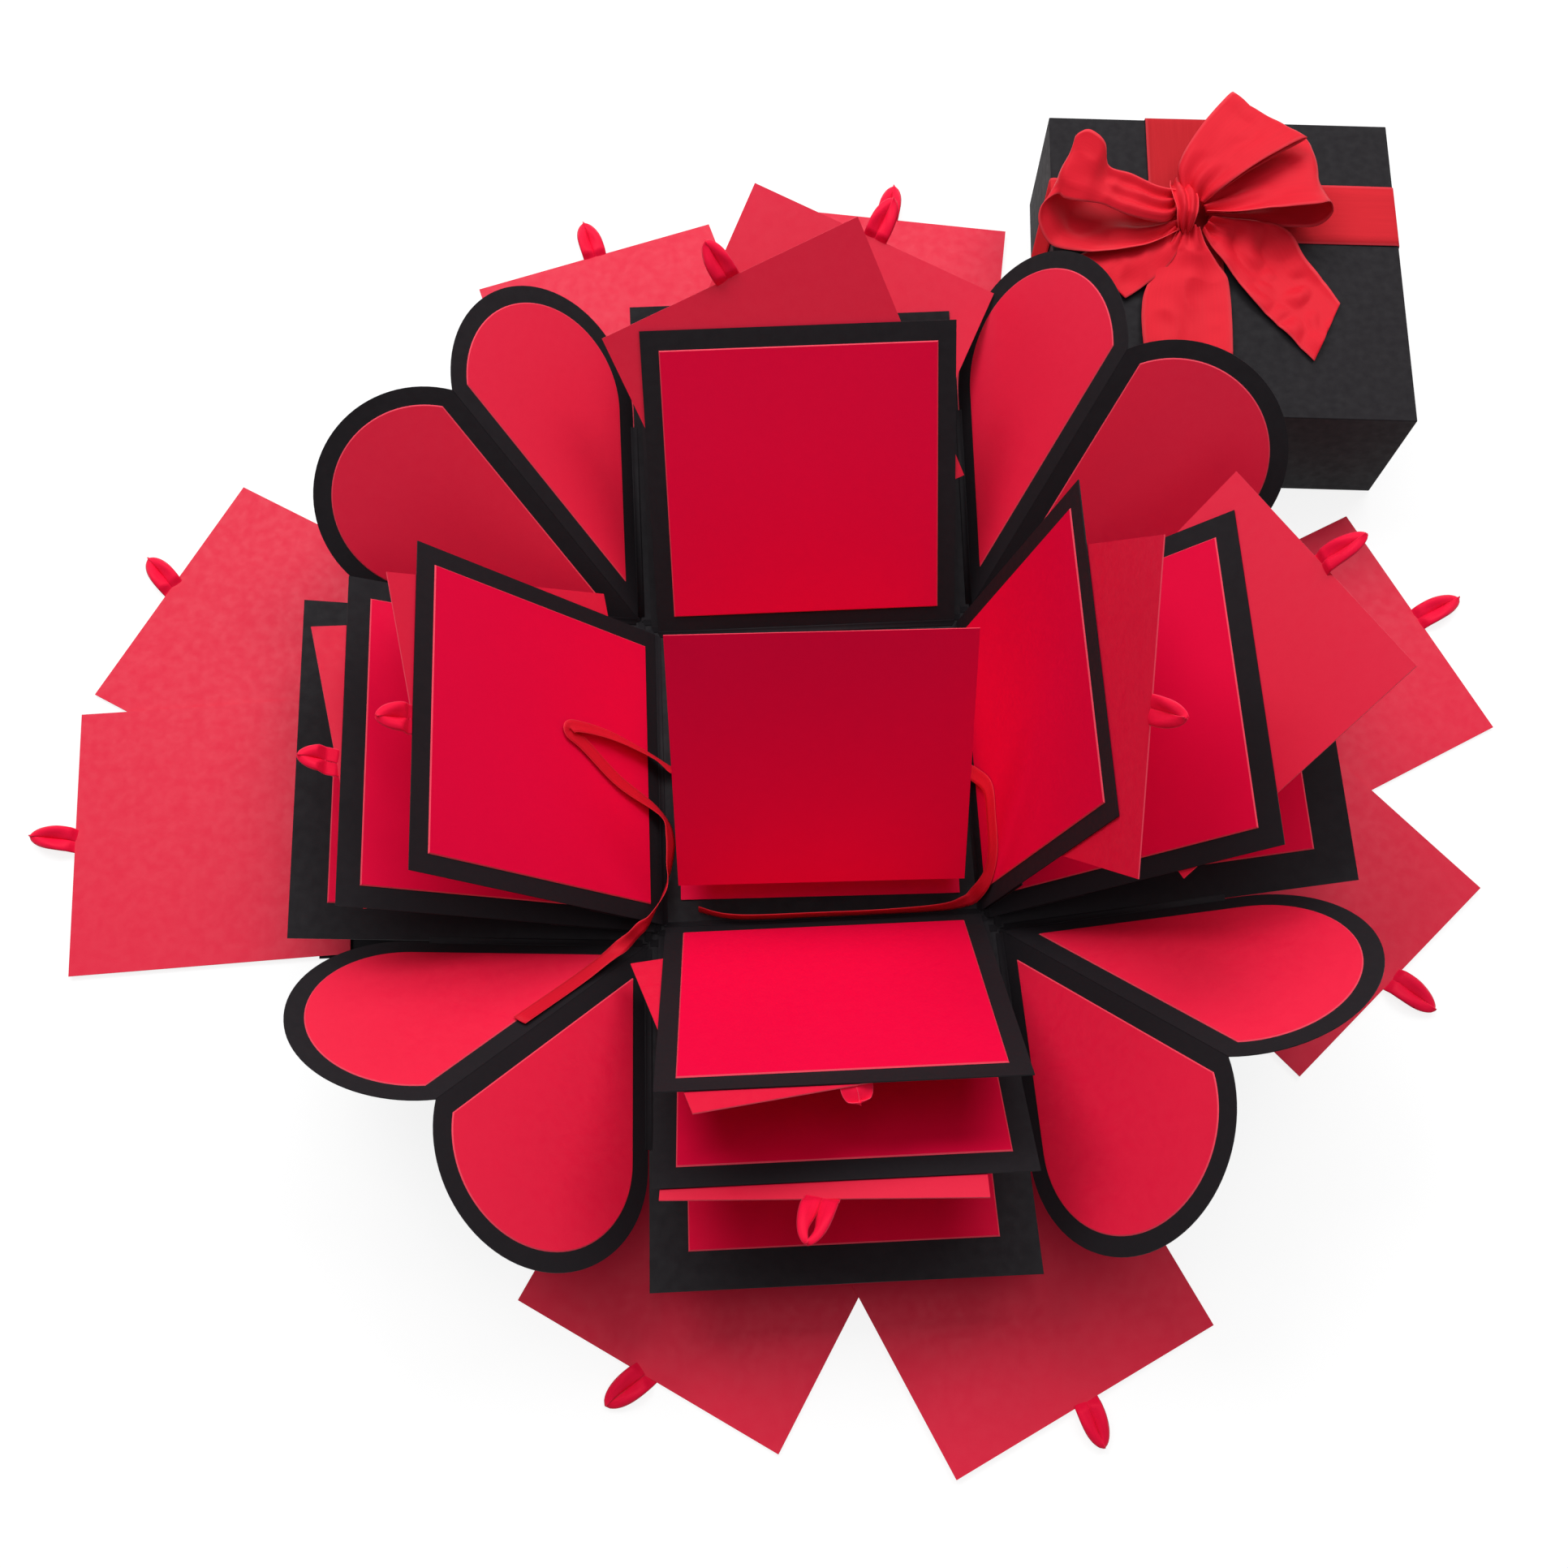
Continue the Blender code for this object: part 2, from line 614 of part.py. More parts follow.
def smooth_route(points, count):
    """Points at even steps of a Catmull-Rom curve through a route's own points."""
    ends = [points[0] * 2 - points[1]] + points + [points[-1] * 2 - points[-2]]
    route = []
    for index in range(count + 1):
        at = index / count * (len(points) - 1)
        first = min(int(at), len(points) - 2)
        share = at - first
        one, two, three, four = ends[first:first + 4]
        route.append(0.5 * (2 * two + (three - one) * share
                            + (2 * one - 5 * two + 4 * three - four) * share ** 2
                            + (3 * two - one - 3 * three + four) * share ** 3))
    return route


def support_normal(support):
    """Upward normal of what a stretch of tie ribbon lies on."""
    if support == "base":
        return Vector((0, 0, 1))
    if support == "heart":
        normal = edge_direction("left").cross(heart_ridge("front", "left"))
        return normal.normalized() if normal.z > 0 else -normal.normalized()
    return panel_frame(support, "inner").to_3x3() @ Vector((0, 0, 1))


def make_tie(name, points):
    """One end of the tie ribbon, a flat band that lies on the base, the panels and a heart in turn."""
    route = smooth_route([Vector(point[:3]) * INNER_SIDE for point in points], TIE_POINTS)
    faces = smooth_route([support_normal(point[3]) for point in points], TIE_POINTS)
    rows = []
    for index, spot in enumerate(route):
        before = route[max(index - 1, 0)]
        after = route[min(index + 1, len(route) - 1)]
        tangent = (after - before).normalized()
        across = tangent.cross(faces[index]).normalized()
        rows.append((spot, across * (TIE_WIDTH / 2), across.cross(tangent)))
    return add_object(name, strip_solid(rows, TIE_SHEET), SATIN, Matrix.Identity(4))


def make_boxes():
    for layer in LAYERS:
        make_base(layer)
    for side in SIDES:
        for layer, shares in (("inner", INNER_CARD_SHARES), ("middle", MIDDLE_CARD_SHARES)):
            panel = make_panel(side, layer)
            make_mat(side, layer, panel)
            make_pocket_card(side, layer, shares[side], panel)


def make_outer_box():
    panels = {}
    for side in SIDES:
        panels[side] = make_panel(side, "outer")
        make_mat(side, "outer", panels[side])
        for number, shares in enumerate(OUTER_CARD_SHARES[side]):
            make_flat_card(side, number, shares, panels[side])
    for corner, (first, second, reach) in HEART_CORNERS.items():
        make_heart_half(corner, first, second, 1, reach, panels[first])
        make_heart_half(corner, second, first, -1, reach, panels[second])


def main():
    clear_scene()
    make_boxes()
    make_outer_box()
    make_album()
    lid = make_lid()
    make_lid_ribbon(lid)
    make_bow_loops(lid)
    make_bow_tails(lid)
    make_tie("tie_ribbon_left", TIE_LEFT_SHARES)
    make_tie("tie_ribbon_right", TIE_RIGHT_SHARES)


main()
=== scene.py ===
"""Looks of the open explosion box: cut card, mats, pull cards with ribbon loops, tie ribbon, lid and bow.

Everything is in metres in the row frame: origin under the middle of the base, Z up, the back side at +Y.
Every mesh is written in the row frame, and its object stays at the origin, as the CAD nodes do.
"""

import math
import random

import bmesh
import bpy
from mathutils import Matrix, Vector
from mathutils.noise import noise as noise_at


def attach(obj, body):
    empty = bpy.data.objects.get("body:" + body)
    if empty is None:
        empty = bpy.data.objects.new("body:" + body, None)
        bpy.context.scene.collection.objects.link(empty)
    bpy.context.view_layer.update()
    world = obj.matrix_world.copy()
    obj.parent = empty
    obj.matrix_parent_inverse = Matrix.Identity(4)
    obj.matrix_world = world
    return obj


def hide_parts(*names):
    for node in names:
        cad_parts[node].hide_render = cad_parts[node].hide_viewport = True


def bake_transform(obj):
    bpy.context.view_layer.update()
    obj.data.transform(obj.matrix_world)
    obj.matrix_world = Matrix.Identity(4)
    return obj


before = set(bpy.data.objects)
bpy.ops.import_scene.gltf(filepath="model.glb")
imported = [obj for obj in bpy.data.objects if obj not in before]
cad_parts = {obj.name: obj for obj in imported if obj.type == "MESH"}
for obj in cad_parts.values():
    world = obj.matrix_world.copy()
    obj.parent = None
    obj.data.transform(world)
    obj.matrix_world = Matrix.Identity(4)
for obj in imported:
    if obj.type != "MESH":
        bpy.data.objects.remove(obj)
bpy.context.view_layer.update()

MM = 0.001
RANDOM_SEED = 7
rng = random.Random(RANDOM_SEED)

# Sizes of the CAD model
BLACK_SHEET = 0.5 * MM
CARD_SHEET = 0.5 * MM
MAT_SHEET = 0.35 * MM
# The mats' edge slopes in this far to the top, so that the pale edge colour shows from above as a painted
# highlight line along each border
MAT_CHAMFER = 0.45 * MM
RIBBON_SHEET = 0.4 * MM
GAP = 0.3 * MM
FOLD_START = 0.4 * MM
# How far a pull card lies behind its panel, from middle to middle
CARD_DEPTH = BLACK_SHEET / 2 + GAP + CARD_SHEET / 2
# Each side's turn from the back, in degrees
SIDES = {"back": 0, "right": -90, "front": 180, "left": 90}
# Each box's panel width and height, its mats' inset, its place in the stack, and its panels' tilts in degrees
LAYERS = {
    "inner": (136 * MM, 134 * MM, 8.3 * MM, 2, {"back": 41.0, "right": 75.5, "front": 50.4, "left": 49.1}),
    "middle": (142 * MM, 138 * MM, 9.3 * MM, 1, {"back": 22.0, "right": 43.4, "front": 34.8, "left": 29.4}),
    "outer": (150 * MM, 148 * MM, 15 * MM, 0, {"back": 14.2, "right": 21.9, "front": 13.8, "left": 14.9}),
}
CARD_SIDE = 118.5 * MM
# Each card's centre across and up its panel as shares of the panel, its twist, its loop's tip in the card's
# own frame, and how far the card can be pushed in, both in millimetres
POCKET_CARDS = {
    ("inner", "back"): (-0.044, 0.742, 22.5, (-2.4, 77.0), 15.0),
    ("inner", "right"): (0.108, 0.830, -23.7, (2.2, 86.5), 26.0),
    ("inner", "front"): (0.069, 0.570, 13.4, (-0.2, 62.5), 2.1),
    ("inner", "left"): (0.046, 0.566, 13.9, (1.2, 77.2), 1.1),
    ("middle", "back"): (0.082, 0.860, -26.5, (0.5, 79.0), 26.0),
    ("middle", "right"): (-0.047, 0.852, 28.7, (5.3, 78.7), 18.0),
    ("middle", "front"): (0.040, 0.625, -2.8, (6.4, 79.8), 6.0),
    ("middle", "left"): (0.001, 0.591, 12.5, (5.4, 74.6), 5.6),
}
# The two cards of each outer pocket, the lower one first, with their places from the fold outwards
OUTER_CARDS = {
    "back": ((-0.517, 0.957, 16.3, (0.2, 79.5)), (0.277, 1.047, -9.7, (1.5, 79.0))),
    "right": ((-0.239, 1.020, 24.5, (-0.3, 81.8)), (0.405, 0.852, -49.5, (-3.2, 80.0))),
    "front": ((0.323, 0.833, -31.5, (8.6, 76.3)), (-0.444, 0.932, 25.9, (3.2, 76.8))),
    "left": ((0.475, 1.109, -30.6, (7.6, 76.8)), (-0.112, 1.270, 2.2, (4.2, 78.8))),
}
# Each corner's two sides, and the heart's reach as a share of the outer panel's height
HEARTS = {
    "back_right": ("back", "right", 0.910),
    "front_right": ("right", "front", 0.932),
    "front_left": ("front", "left", 0.895),
    "back_left": ("left", "back", 0.888),
}
HEART_HALF_ANGLE = math.radians(46.5)
HEART_LOBE_SHARE = 0.5027
HEART_HINGE_GAP = 0.6 * MM
HEART_BORDER = 7.5 * MM
HEART_TIP_CUT = 0.8 * MM
HEART_MAT_TIP_CUT = 0.5 * MM
HEART_STEPS = 48
# Turns and folds are in degrees
ALBUM = {"side": 120 * MM, "x": 0.6 * MM, "back": 62 * MM, "turn": -1.1, "leaf": 8.3, "cover": 53.2}
LID = {"side": 157 * MM, "height": 62 * MM, "wall": 1.2 * MM, "x": 196.35 * MM, "y": 211.95 * MM,
       "turn": -4.38}
LID_SOFT_EDGE = 0.5 * MM
BAND = {"width": 32 * MM, "x": -17.8 * MM, "y": 27.9 * MM}

# Camera, fitted to the folded squares, the lid's corners and the cards of the photograph
IMAGE_PIXELS = 1932
FOCAL_PIXELS = 2021.93
SENSOR_MM = 36
CAMERA_TILT = math.radians(18.7465)
CAMERA_YAW = math.radians(-3.6554)
CAMERA_ROLL = math.radians(0.9981)
CAMERA_PLACE = Vector((-28.6, -238.0, 686.6)) * MM
CAMERA_NEAR, CAMERA_FAR = 0.01, 20


def camera_turn():
    cos_tilt, sin_tilt = math.cos(CAMERA_TILT), math.sin(CAMERA_TILT)
    cos_roll, sin_roll = math.cos(CAMERA_ROLL), math.sin(CAMERA_ROLL)
    right = Vector((1, 0, 0))
    up = Vector((0, cos_tilt, sin_tilt))
    back = Vector((0, -sin_tilt, cos_tilt))
    columns = (right * cos_roll + up * sin_roll, up * cos_roll - right * sin_roll, back)
    return Matrix.Rotation(CAMERA_YAW, 3, "Z") @ Matrix(columns).transposed()


def make_camera():
    data = bpy.data.cameras.new("camera")
    data.sensor_fit = "HORIZONTAL"
    data.sensor_width = SENSOR_MM
    data.lens = FOCAL_PIXELS / IMAGE_PIXELS * SENSOR_MM
    data.clip_start = CAMERA_NEAR
    data.clip_end = CAMERA_FAR
    camera = bpy.data.objects.new("camera", data)
    bpy.context.scene.collection.objects.link(camera)
    camera.matrix_world = Matrix.Translation(CAMERA_PLACE) @ camera_turn().to_4x4()
    bpy.context.scene.camera = camera


def at_height(px, py, height):
    """The point at a height, in millimetres, that shows at a pixel of the photograph."""
    middle = IMAGE_PIXELS / 2
    ray = camera_turn() @ Vector(((px - middle) / FOCAL_PIXELS, (middle - py) / FOCAL_PIXELS, -1))
    return CAMERA_PLACE + ray * ((height * MM - CAMERA_PLACE.z) / ray.z)


# Materials

# Card: the scales of its slow tones, fibres and gloss, and how strongly they show
TONE_SCALE, FIBRE_SCALE, GLOSS_SCALE = 14, 1400, 260
FIBRE_SHARE = 0.14
GLOSS_SPREAD = 0.06
CARD_GRAIN_DEPTH = 0.05 * MM
# Satin: the tint of its gloss, the stretch of its streaks, its weft, and its selvage from the ribbon's middle
SATIN_ROUGHNESS = 0.42
SATIN_TINT = (1.0, 0.12, 0.15, 1)
STREAK_STRETCH = (30, 26, 1)
WEFT_SCALE, WEFT_WAVER, WEFT_STRENGTH = 420, 0.4, 0.18
WEFT_DEPTH = 0.04 * MM
SELVAGE_START, SELVAGE_STOP, SELVAGE_SHARE = 0.455, 0.485, 0.7
# Floor: its grey to the light, its faint grey to the camera, and the glow that hides it, stronger far away
FLOOR_GREY = (0.6, 0.6, 0.6, 1)
FLOOR_FAINT = (0.22, 0.22, 0.22, 1)
WHITE = (1, 1, 1, 1)
GLOW_NEAR, GLOW_FAR = 0.84, 1.0
FADE_START, FADE_STOP = 0.5, 2.0


def new_material(name, color, roughness):
    made = bpy.data.materials.new(name)
    made.use_nodes = True
    shader = made.node_tree.nodes["Principled BSDF"]
    shader.inputs["Base Color"].default_value = (*color, 1)
    shader.inputs["Roughness"].default_value = roughness
    return made, made.node_tree, shader


def add_node(tree, kind, inputs=(), **settings):
    node = tree.nodes.new(kind)
    for key, value in settings.items():
        setattr(node, key, value)
    for key, value in dict(inputs).items():
        node.inputs[key].default_value = value
    return node


def noise(tree, scale, detail=2.0, source="Object", stretch=None):
    place = add_node(tree, "ShaderNodeTexCoord")
    pattern = add_node(tree, "ShaderNodeTexNoise", {"Scale": scale, "Detail": detail})
    output = place.outputs[source]
    if stretch:
        mapping = add_node(tree, "ShaderNodeMapping", {"Scale": stretch})
        tree.links.new(output, mapping.inputs["Vector"])
        output = mapping.outputs["Vector"]
    tree.links.new(output, pattern.inputs["Vector"])
    return pattern.outputs["Fac"]


def spread(tree, value, low, high, start=0.3, stop=0.7):
    """A noise value spread over a range of its own."""
    ramp = add_node(tree, "ShaderNodeMapRange",
                    {"From Min": start, "From Max": stop, "To Min": low, "To Max": high})
    tree.links.new(value, ramp.inputs["Value"])
    return ramp.outputs["Result"]


def mixed(tree, amount, one, two):
    """A colour between two, each a colour or another node's output."""
    mix = add_node(tree, "ShaderNodeMix", data_type="RGBA")
    tree.links.new(amount, mix.inputs["Factor"])
    for socket, value in ((mix.inputs[6], one), (mix.inputs[7], two)):
        if isinstance(value, tuple):
            socket.default_value = (*value, 1)
        else:
            tree.links.new(value, socket)
    return mix.outputs[2]


def bumped(tree, shader, height, strength, distance):
    bump = add_node(tree, "ShaderNodeBump", {"Strength": strength, "Distance": distance})
    tree.links.new(height, bump.inputs["Height"])
    tree.links.new(bump.outputs["Normal"], shader.inputs["Normal"])


def card_material(name, color, deep, light, roughness, grain, gloss):
    """Card stock: slow tone changes, a fine grain of fibres and a slightly uneven gloss."""
    made, tree, shader = new_material(name, color, roughness)
    shader.inputs["Specular IOR Level"].default_value = gloss
    slow = mixed(tree, spread(tree, noise(tree, TONE_SCALE, 3), 0, 1), deep, color)
    fibres = noise(tree, FIBRE_SCALE, 4)
    toned = mixed(tree, spread(tree, fibres, 0, FIBRE_SHARE), slow, light)
    tree.links.new(toned, shader.inputs["Base Color"])
    uneven = spread(tree, noise(tree, GLOSS_SCALE, 2), roughness - GLOSS_SPREAD, roughness + GLOSS_SPREAD)
    tree.links.new(uneven, shader.inputs["Roughness"])
    bumped(tree, shader, fibres, grain, CARD_GRAIN_DEPTH)
    return made


def satin_material(name, color, shade, selvage, gloss):
    """Woven satin: streaks along the ribbon, a fine weft, and a paler woven edge on each side."""
    made, tree, shader = new_material(name, color, SATIN_ROUGHNESS)
    shader.inputs["Specular IOR Level"].default_value = gloss
    shader.inputs["Specular Tint"].default_value = SATIN_TINT
    streaks = noise(tree, 1, 3, "UV", STREAK_STRETCH)
    body = mixed(tree, spread(tree, streaks, 0, 1), shade, color)
    place = add_node(tree, "ShaderNodeTexCoord")
    parts = add_node(tree, "ShaderNodeSeparateXYZ")
    tree.links.new(place.outputs["UV"], parts.inputs["Vector"])
    off_middle = add_node(tree, "ShaderNodeMath", {1: 0.5}, operation="SUBTRACT")
    tree.links.new(parts.outputs["Y"], off_middle.inputs[0])
    out = add_node(tree, "ShaderNodeMath", operation="ABSOLUTE")
    tree.links.new(off_middle.outputs[0], out.inputs[0])
    edge = spread(tree, out.outputs[0], 0, SELVAGE_SHARE, SELVAGE_START, SELVAGE_STOP)
    tree.links.new(mixed(tree, edge, body, selvage), shader.inputs["Base Color"])
    weft = add_node(tree, "ShaderNodeTexWave", {"Scale": WEFT_SCALE, "Distortion": WEFT_WAVER},
                    wave_type="BANDS")
    tree.links.new(place.outputs["UV"], weft.inputs["Vector"])
    uneven = spread(tree, streaks, SATIN_ROUGHNESS - GLOSS_SPREAD, SATIN_ROUGHNESS + GLOSS_SPREAD)
    tree.links.new(uneven, shader.inputs["Roughness"])
    bumped(tree, shader, weft.outputs["Fac"], WEFT_STRENGTH, WEFT_DEPTH)
    return made


def floor_material():
    """White to the camera and in reflections, with the object's soft shadow, and plain grey to the light."""
    made = bpy.data.materials.new("floor")
    made.use_nodes = True
    tree = made.node_tree
    tree.nodes.clear()
    pale = add_node(tree, "ShaderNodeBsdfDiffuse", {"Color": FLOOR_GREY})
    faint = add_node(tree, "ShaderNodeBsdfDiffuse", {"Color": FLOOR_FAINT})
    glow = add_node(tree, "ShaderNodeEmission", {"Color": WHITE})
    place = add_node(tree, "ShaderNodeTexCoord")
    distance = add_node(tree, "ShaderNodeVectorMath", operation="LENGTH")
    tree.links.new(place.outputs["Object"], distance.inputs[0])
    grown = spread(tree, distance.outputs["Value"], GLOW_NEAR, GLOW_FAR, FADE_START, FADE_STOP)
    tree.links.new(grown, glow.inputs["Strength"])
    seen = add_node(tree, "ShaderNodeAddShader")
    tree.links.new(faint.outputs[0], seen.inputs[0])
    tree.links.new(glow.outputs[0], seen.inputs[1])
    tree.links.new(white_rays(tree), add_mix(tree, pale, seen, "Material").inputs["Fac"])
    return made


def white_rays(tree):
    """1 for the rays that see the background: the camera's, and those of gloss and glass."""
    path = add_node(tree, "ShaderNodeLightPath")
    some = add_node(tree, "ShaderNodeMath", operation="MAXIMUM")
    tree.links.new(path.outputs["Is Camera Ray"], some.inputs[0])
    tree.links.new(path.outputs["Is Transmission Ray"], some.inputs[1])
    more = add_node(tree, "ShaderNodeMath", operation="MAXIMUM")
    tree.links.new(some.outputs[0], more.inputs[0])
    tree.links.new(path.outputs["Is Glossy Ray"], more.inputs[1])
    return more.outputs[0]


def add_mix(tree, first, second, kind):
    """A mix of two shaders, wired to the output of a material or of the world."""
    mix = add_node(tree, "ShaderNodeMixShader")
    tree.links.new(first.outputs[0], mix.inputs[1])
    tree.links.new(second.outputs[0], mix.inputs[2])
    out = add_node(tree, "ShaderNodeOutput" + kind)
    tree.links.new(mix.outputs[0], out.inputs["Surface"])
    return mix


# Each card's colour, its deeper and its lighter tone, its roughness, grain and gloss
RED = card_material("red_card", (0.71, 0.003, 0.038), (0.69, 0.003, 0.035), (0.80, 0.012, 0.054),
                    0.58, 0.14, 0.36)
DEEP_RED = card_material("deep_red_card", (0.77, 0.001, 0.046), (0.75, 0.001, 0.043), (0.86, 0.003, 0.058),
                         0.62, 0.14, 0.08)
# Painted light: the hearts' mats are the pull cards' red card made lighter, to look more brightly lit
HEART_RED_PAINTED_LIGHT = card_material("heart_red_card", (0.80, 0.004, 0.044), (0.77, 0.004, 0.041), (0.88, 0.013, 0.06),
                          0.58, 0.14, 0.36)
# Painted light: the album's leaves and cover are the mats' red card made lighter and a little bluer, the
# lightness standing in for light on the cover that faces away from the lamps
ALBUM_RED_PAINTED_LIGHT = card_material("album_red_card_painted_light", (0.86, 0.001, 0.058), (0.83, 0.001, 0.054), (0.92, 0.003, 0.07),
                          0.62, 0.14, 0.08)
# Partly the paler core of cut card, partly a painted highlight: on the mats it covers an edge sloped to show
# from above as a light line
RED_EDGE_AND_HIGHLIGHT = card_material("red_card_edge_and_highlight", (0.80, 0.05, 0.09), (0.74, 0.04, 0.08), (0.9, 0.12, 0.16),
                         0.7, 0.2, 0.3)
BLACK = card_material("black_card", (0.0085, 0.0068, 0.0088), (0.0065, 0.0055, 0.007),
                      (0.014, 0.013, 0.015), 0.68, 0.2, 0.14)
# Each satin's colour, its shade, its selvage's colour and its gloss
SATIN = satin_material("red_satin", (0.69, 0.0155, 0.031), (0.65, 0.0135, 0.027), (0.82, 0.06, 0.08), 0.25)
# Painted shade: the band across the lid is the bow's ribbon, darker and without gloss
ACROSS_BAND_SATIN_PAINTED_SHADE = satin_material("across_band_satin_painted_shade", (0.61, 0.026, 0.036), (0.58, 0.023, 0.033),
                            (0.74, 0.06, 0.08), 0.0)
# Painted shade: the band along the lid is the same ribbon as the band across, darkened further
ALONG_BAND_SATIN_PAINTED_SHADE = satin_material("along_band_satin_painted_shade", (0.50, 0.023, 0.030), (0.47, 0.020, 0.027),
                            (0.64, 0.055, 0.07), 0.0)
TIE_SATIN = satin_material("tie_satin", (0.66, 0.011, 0.029), (0.58, 0.008, 0.023), (0.80, 0.05, 0.07), 0.3)
LOOP_SATIN = satin_material("loop_satin", (0.88, 0.008, 0.052), (0.80, 0.006, 0.042), (0.93, 0.07, 0.14), 0.3)


# Mesh builders

def finish_piece(name, form, materials, body, node=None, smooth=False):
    """Make a mesh written in the row frame into a piece that rides a body and may stand for a CAD node."""
    bmesh.ops.recalc_face_normals(form, faces=form.faces)
    mesh = bpy.data.meshes.new(name)
    form.to_mesh(mesh)
    form.free()
    for item in materials:
        mesh.materials.append(item)
    for face in mesh.polygons:
        face.use_smooth = smooth
    piece = bpy.data.objects.new(name, mesh)
    bpy.context.scene.collection.objects.link(piece)
    if node:
        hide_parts(*([node] if isinstance(node, str) else node))
    if body:
        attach(piece, body)
    return piece


def flat_sheet(outline, low, high, place, crown=None):
    """A closed flat sheet over an outline, up to a smaller crown if it has one.

    Its edge takes the second material.
    """
    form = bmesh.new()
    bottom = [form.verts.new(place @ Vector((x, y, low))) for x, y in outline]
    top = [form.verts.new(place @ Vector((x, y, high))) for x, y in crown or outline]
    form.faces.new(bottom)
    form.faces.new(top)
    for index in range(len(outline)):
        after = (index + 1) % len(outline)
        side = form.faces.new((bottom[index], bottom[after], top[after], top[index]))
        side.material_index = 1
    return form


def rectangle(left, right, low, high):
    """The four corners, in order, of an upright rectangle."""
    return [(left, low), (right, low), (right, high), (left, high)]


def grid_sheet(spot, columns, rows):
    """A grid of points given by a function of two shares, across and along.

    Its UV map holds the real length along and the share across.
    """
    form = bmesh.new()
    layer = form.loops.layers.uv.new("ribbon")
    points = [[spot(column / columns, row / rows) for column in range(columns + 1)]
              for row in range(rows + 1)]
    along = [0.0]
    middle = columns // 2
    for before, after in zip(points, points[1:]):
        along.append(along[-1] + (after[middle] - before[middle]).length)
    verts = [[form.verts.new(point) for point in line] for line in points]
    for row in range(rows):
        for column in range(columns):
            corners = ((row, column), (row, column + 1), (row + 1, column + 1), (row + 1, column))
            face = form.faces.new([verts[r][c] for r, c in corners])
            for loop, (r, c) in zip(face.loops, corners):
                loop[layer].uv = (along[r], c / columns)
    return form


def thicken(piece, thickness, rim=0):
    thick = piece.modifiers.new("thickness", "SOLIDIFY")
    thick.thickness = thickness
    thick.offset = 0
    thick.material_offset_rim = rim


def smooth_line(points, share):
    """A point of the Catmull-Rom curve through a list of points."""
    at = share * (len(points) - 1)
    first = min(int(at), len(points) - 2)
    share = at - first
    one = points[first - 1] if first else points[0] * 2 - points[1]
    two, three = points[first], points[first + 1]
    four = points[first + 2] if first + 2 < len(points) else points[-1] * 2 - points[-2]
    return 0.5 * (2 * two + (three - one) * share + (2 * one - 5 * two + 4 * three - four) * share ** 2
                  + (3 * two - one - 3 * three + four) * share ** 3)


# Frames of the folded boxes

def base_level(layer):
    """The height of the middle of a base's card."""
    return BLACK_SHEET / 2 + LAYERS[layer][3] * (BLACK_SHEET + GAP)


def side_frame(side, layer):
    """Origin on a panel's fold, X along it and Y outwards."""
    turn = Matrix.Rotation(math.radians(SIDES[side]), 4, "Z")
    return turn @ Matrix.Translation((0, LAYERS[layer][0] / 2, base_level(layer)))


def panel_frame(side, layer):
    """The same frame tilted with the panel, with Z on the panel's inner side."""
    return side_frame(side, layer) @ Matrix.Rotation(math.radians(LAYERS[layer][4][side]), 4, "X")


# Tie ribbon of the album

TIE_WIDTH = 6 * MM
TIE_CURL = 0.3 * MM
TIE_STEPS, TIE_COLUMNS = 150, 4
# Points of each end from the album outwards: place in millimetres, the piece it lies on there, and how far
# the ribbon is turned up on edge, in degrees
TIE_LEFT = (
    (-60.0, 1.8, 2.6, "base", -45), (-64.0, 1.9, 2.8, "base", -45), (-73.5, 6.4, 10.7, "left", -42),
    (-88.5, 9.8, 28.3, "left", -30), (-101.2, 9.2, 43.2, "left", -15), (-103.0, 6.2, 45.2, "left", 0),
    (-97.3, 2.2, 38.6, "left", 0), (-84.8, -9.4, 24.1, "left", 5), (-70.0, -18.5, 6.8, "left", 30),
    (-64.5, -29.1, 2.8, "base", 55), (-65.2, -42.0, 2.8, "base", 70), (-69.5, -54.5, 5.4, "left", 62),
    (-75.2, -68.0, 13.0, "left", 40), (-78.5, -72.2, 16.0, "left", 15), (-83.2, -77.2, 15.8, "left", 0),
    (-90.0, -83.5, 18.0, "heart", 0), (-102.7, -95.4, 26.8, "heart", 0), (-122.7, -115.0, 49.3, "heart", 0),
)
TIE_RIGHT = (
    (61.3, -3.0, 2.8, "base", 10), (65.0, -3.6, 4.2, "base", 12), (69.6, -10.0, 15.0, "right", 22),
    (73.2, -20.0, 26.2, "right", 18), (73.4, -33.0, 26.2, "right", 16), (73.0, -48.0, 25.0, "right", 18),
    (70.6, -57.5, 16.5, "right", 22), (65.5, -61.5, 5.6, "base", 28), (60.0, -64.0, 3.4, "base", 55),
    (50.0, -66.0, 2.9, "base", 75), (25.0, -66.9, 3.0, "base", 84), (-2.0, -66.9, 3.0, "base", 84),
    (-28.2, -66.8, 3.0, "base", 84), (-40.0, -65.9, 2.9, "base", 84), (-47.0, -64.2, 2.7, "base", 84),
    (-53.0, -62.0, 2.7, "base", 82),
)


def edge_direction(side):
    return (panel_frame(side, "outer").to_3x3() @ Vector((0, 1, 0))).normalized()


def heart_ridge(first, second):
    """Direction of a heart's centre fold, at the half angle from both outer panels' side edges."""
    one, two = edge_direction(first), edge_direction(second)
    flat = (one + two) * (math.cos(HEART_HALF_ANGLE) / (1 + one.dot(two)))
    down = one.cross(two).normalized()
    if down.z > 0:
        down = -down
    return flat - down * math.sqrt(1 - flat.length_squared)


def support_normal(support):
    """The upward normal of a piece that the tie ribbon lies on."""
    if support == "base":
        return Vector((0, 0, 1))
    if support == "heart":
        normal = edge_direction("left").cross(heart_ridge("front", "left")).normalized()
        return normal if normal.z > 0 else -normal
    return panel_frame(support, "inner").to_3x3() @ Vector((0, 0, 1))


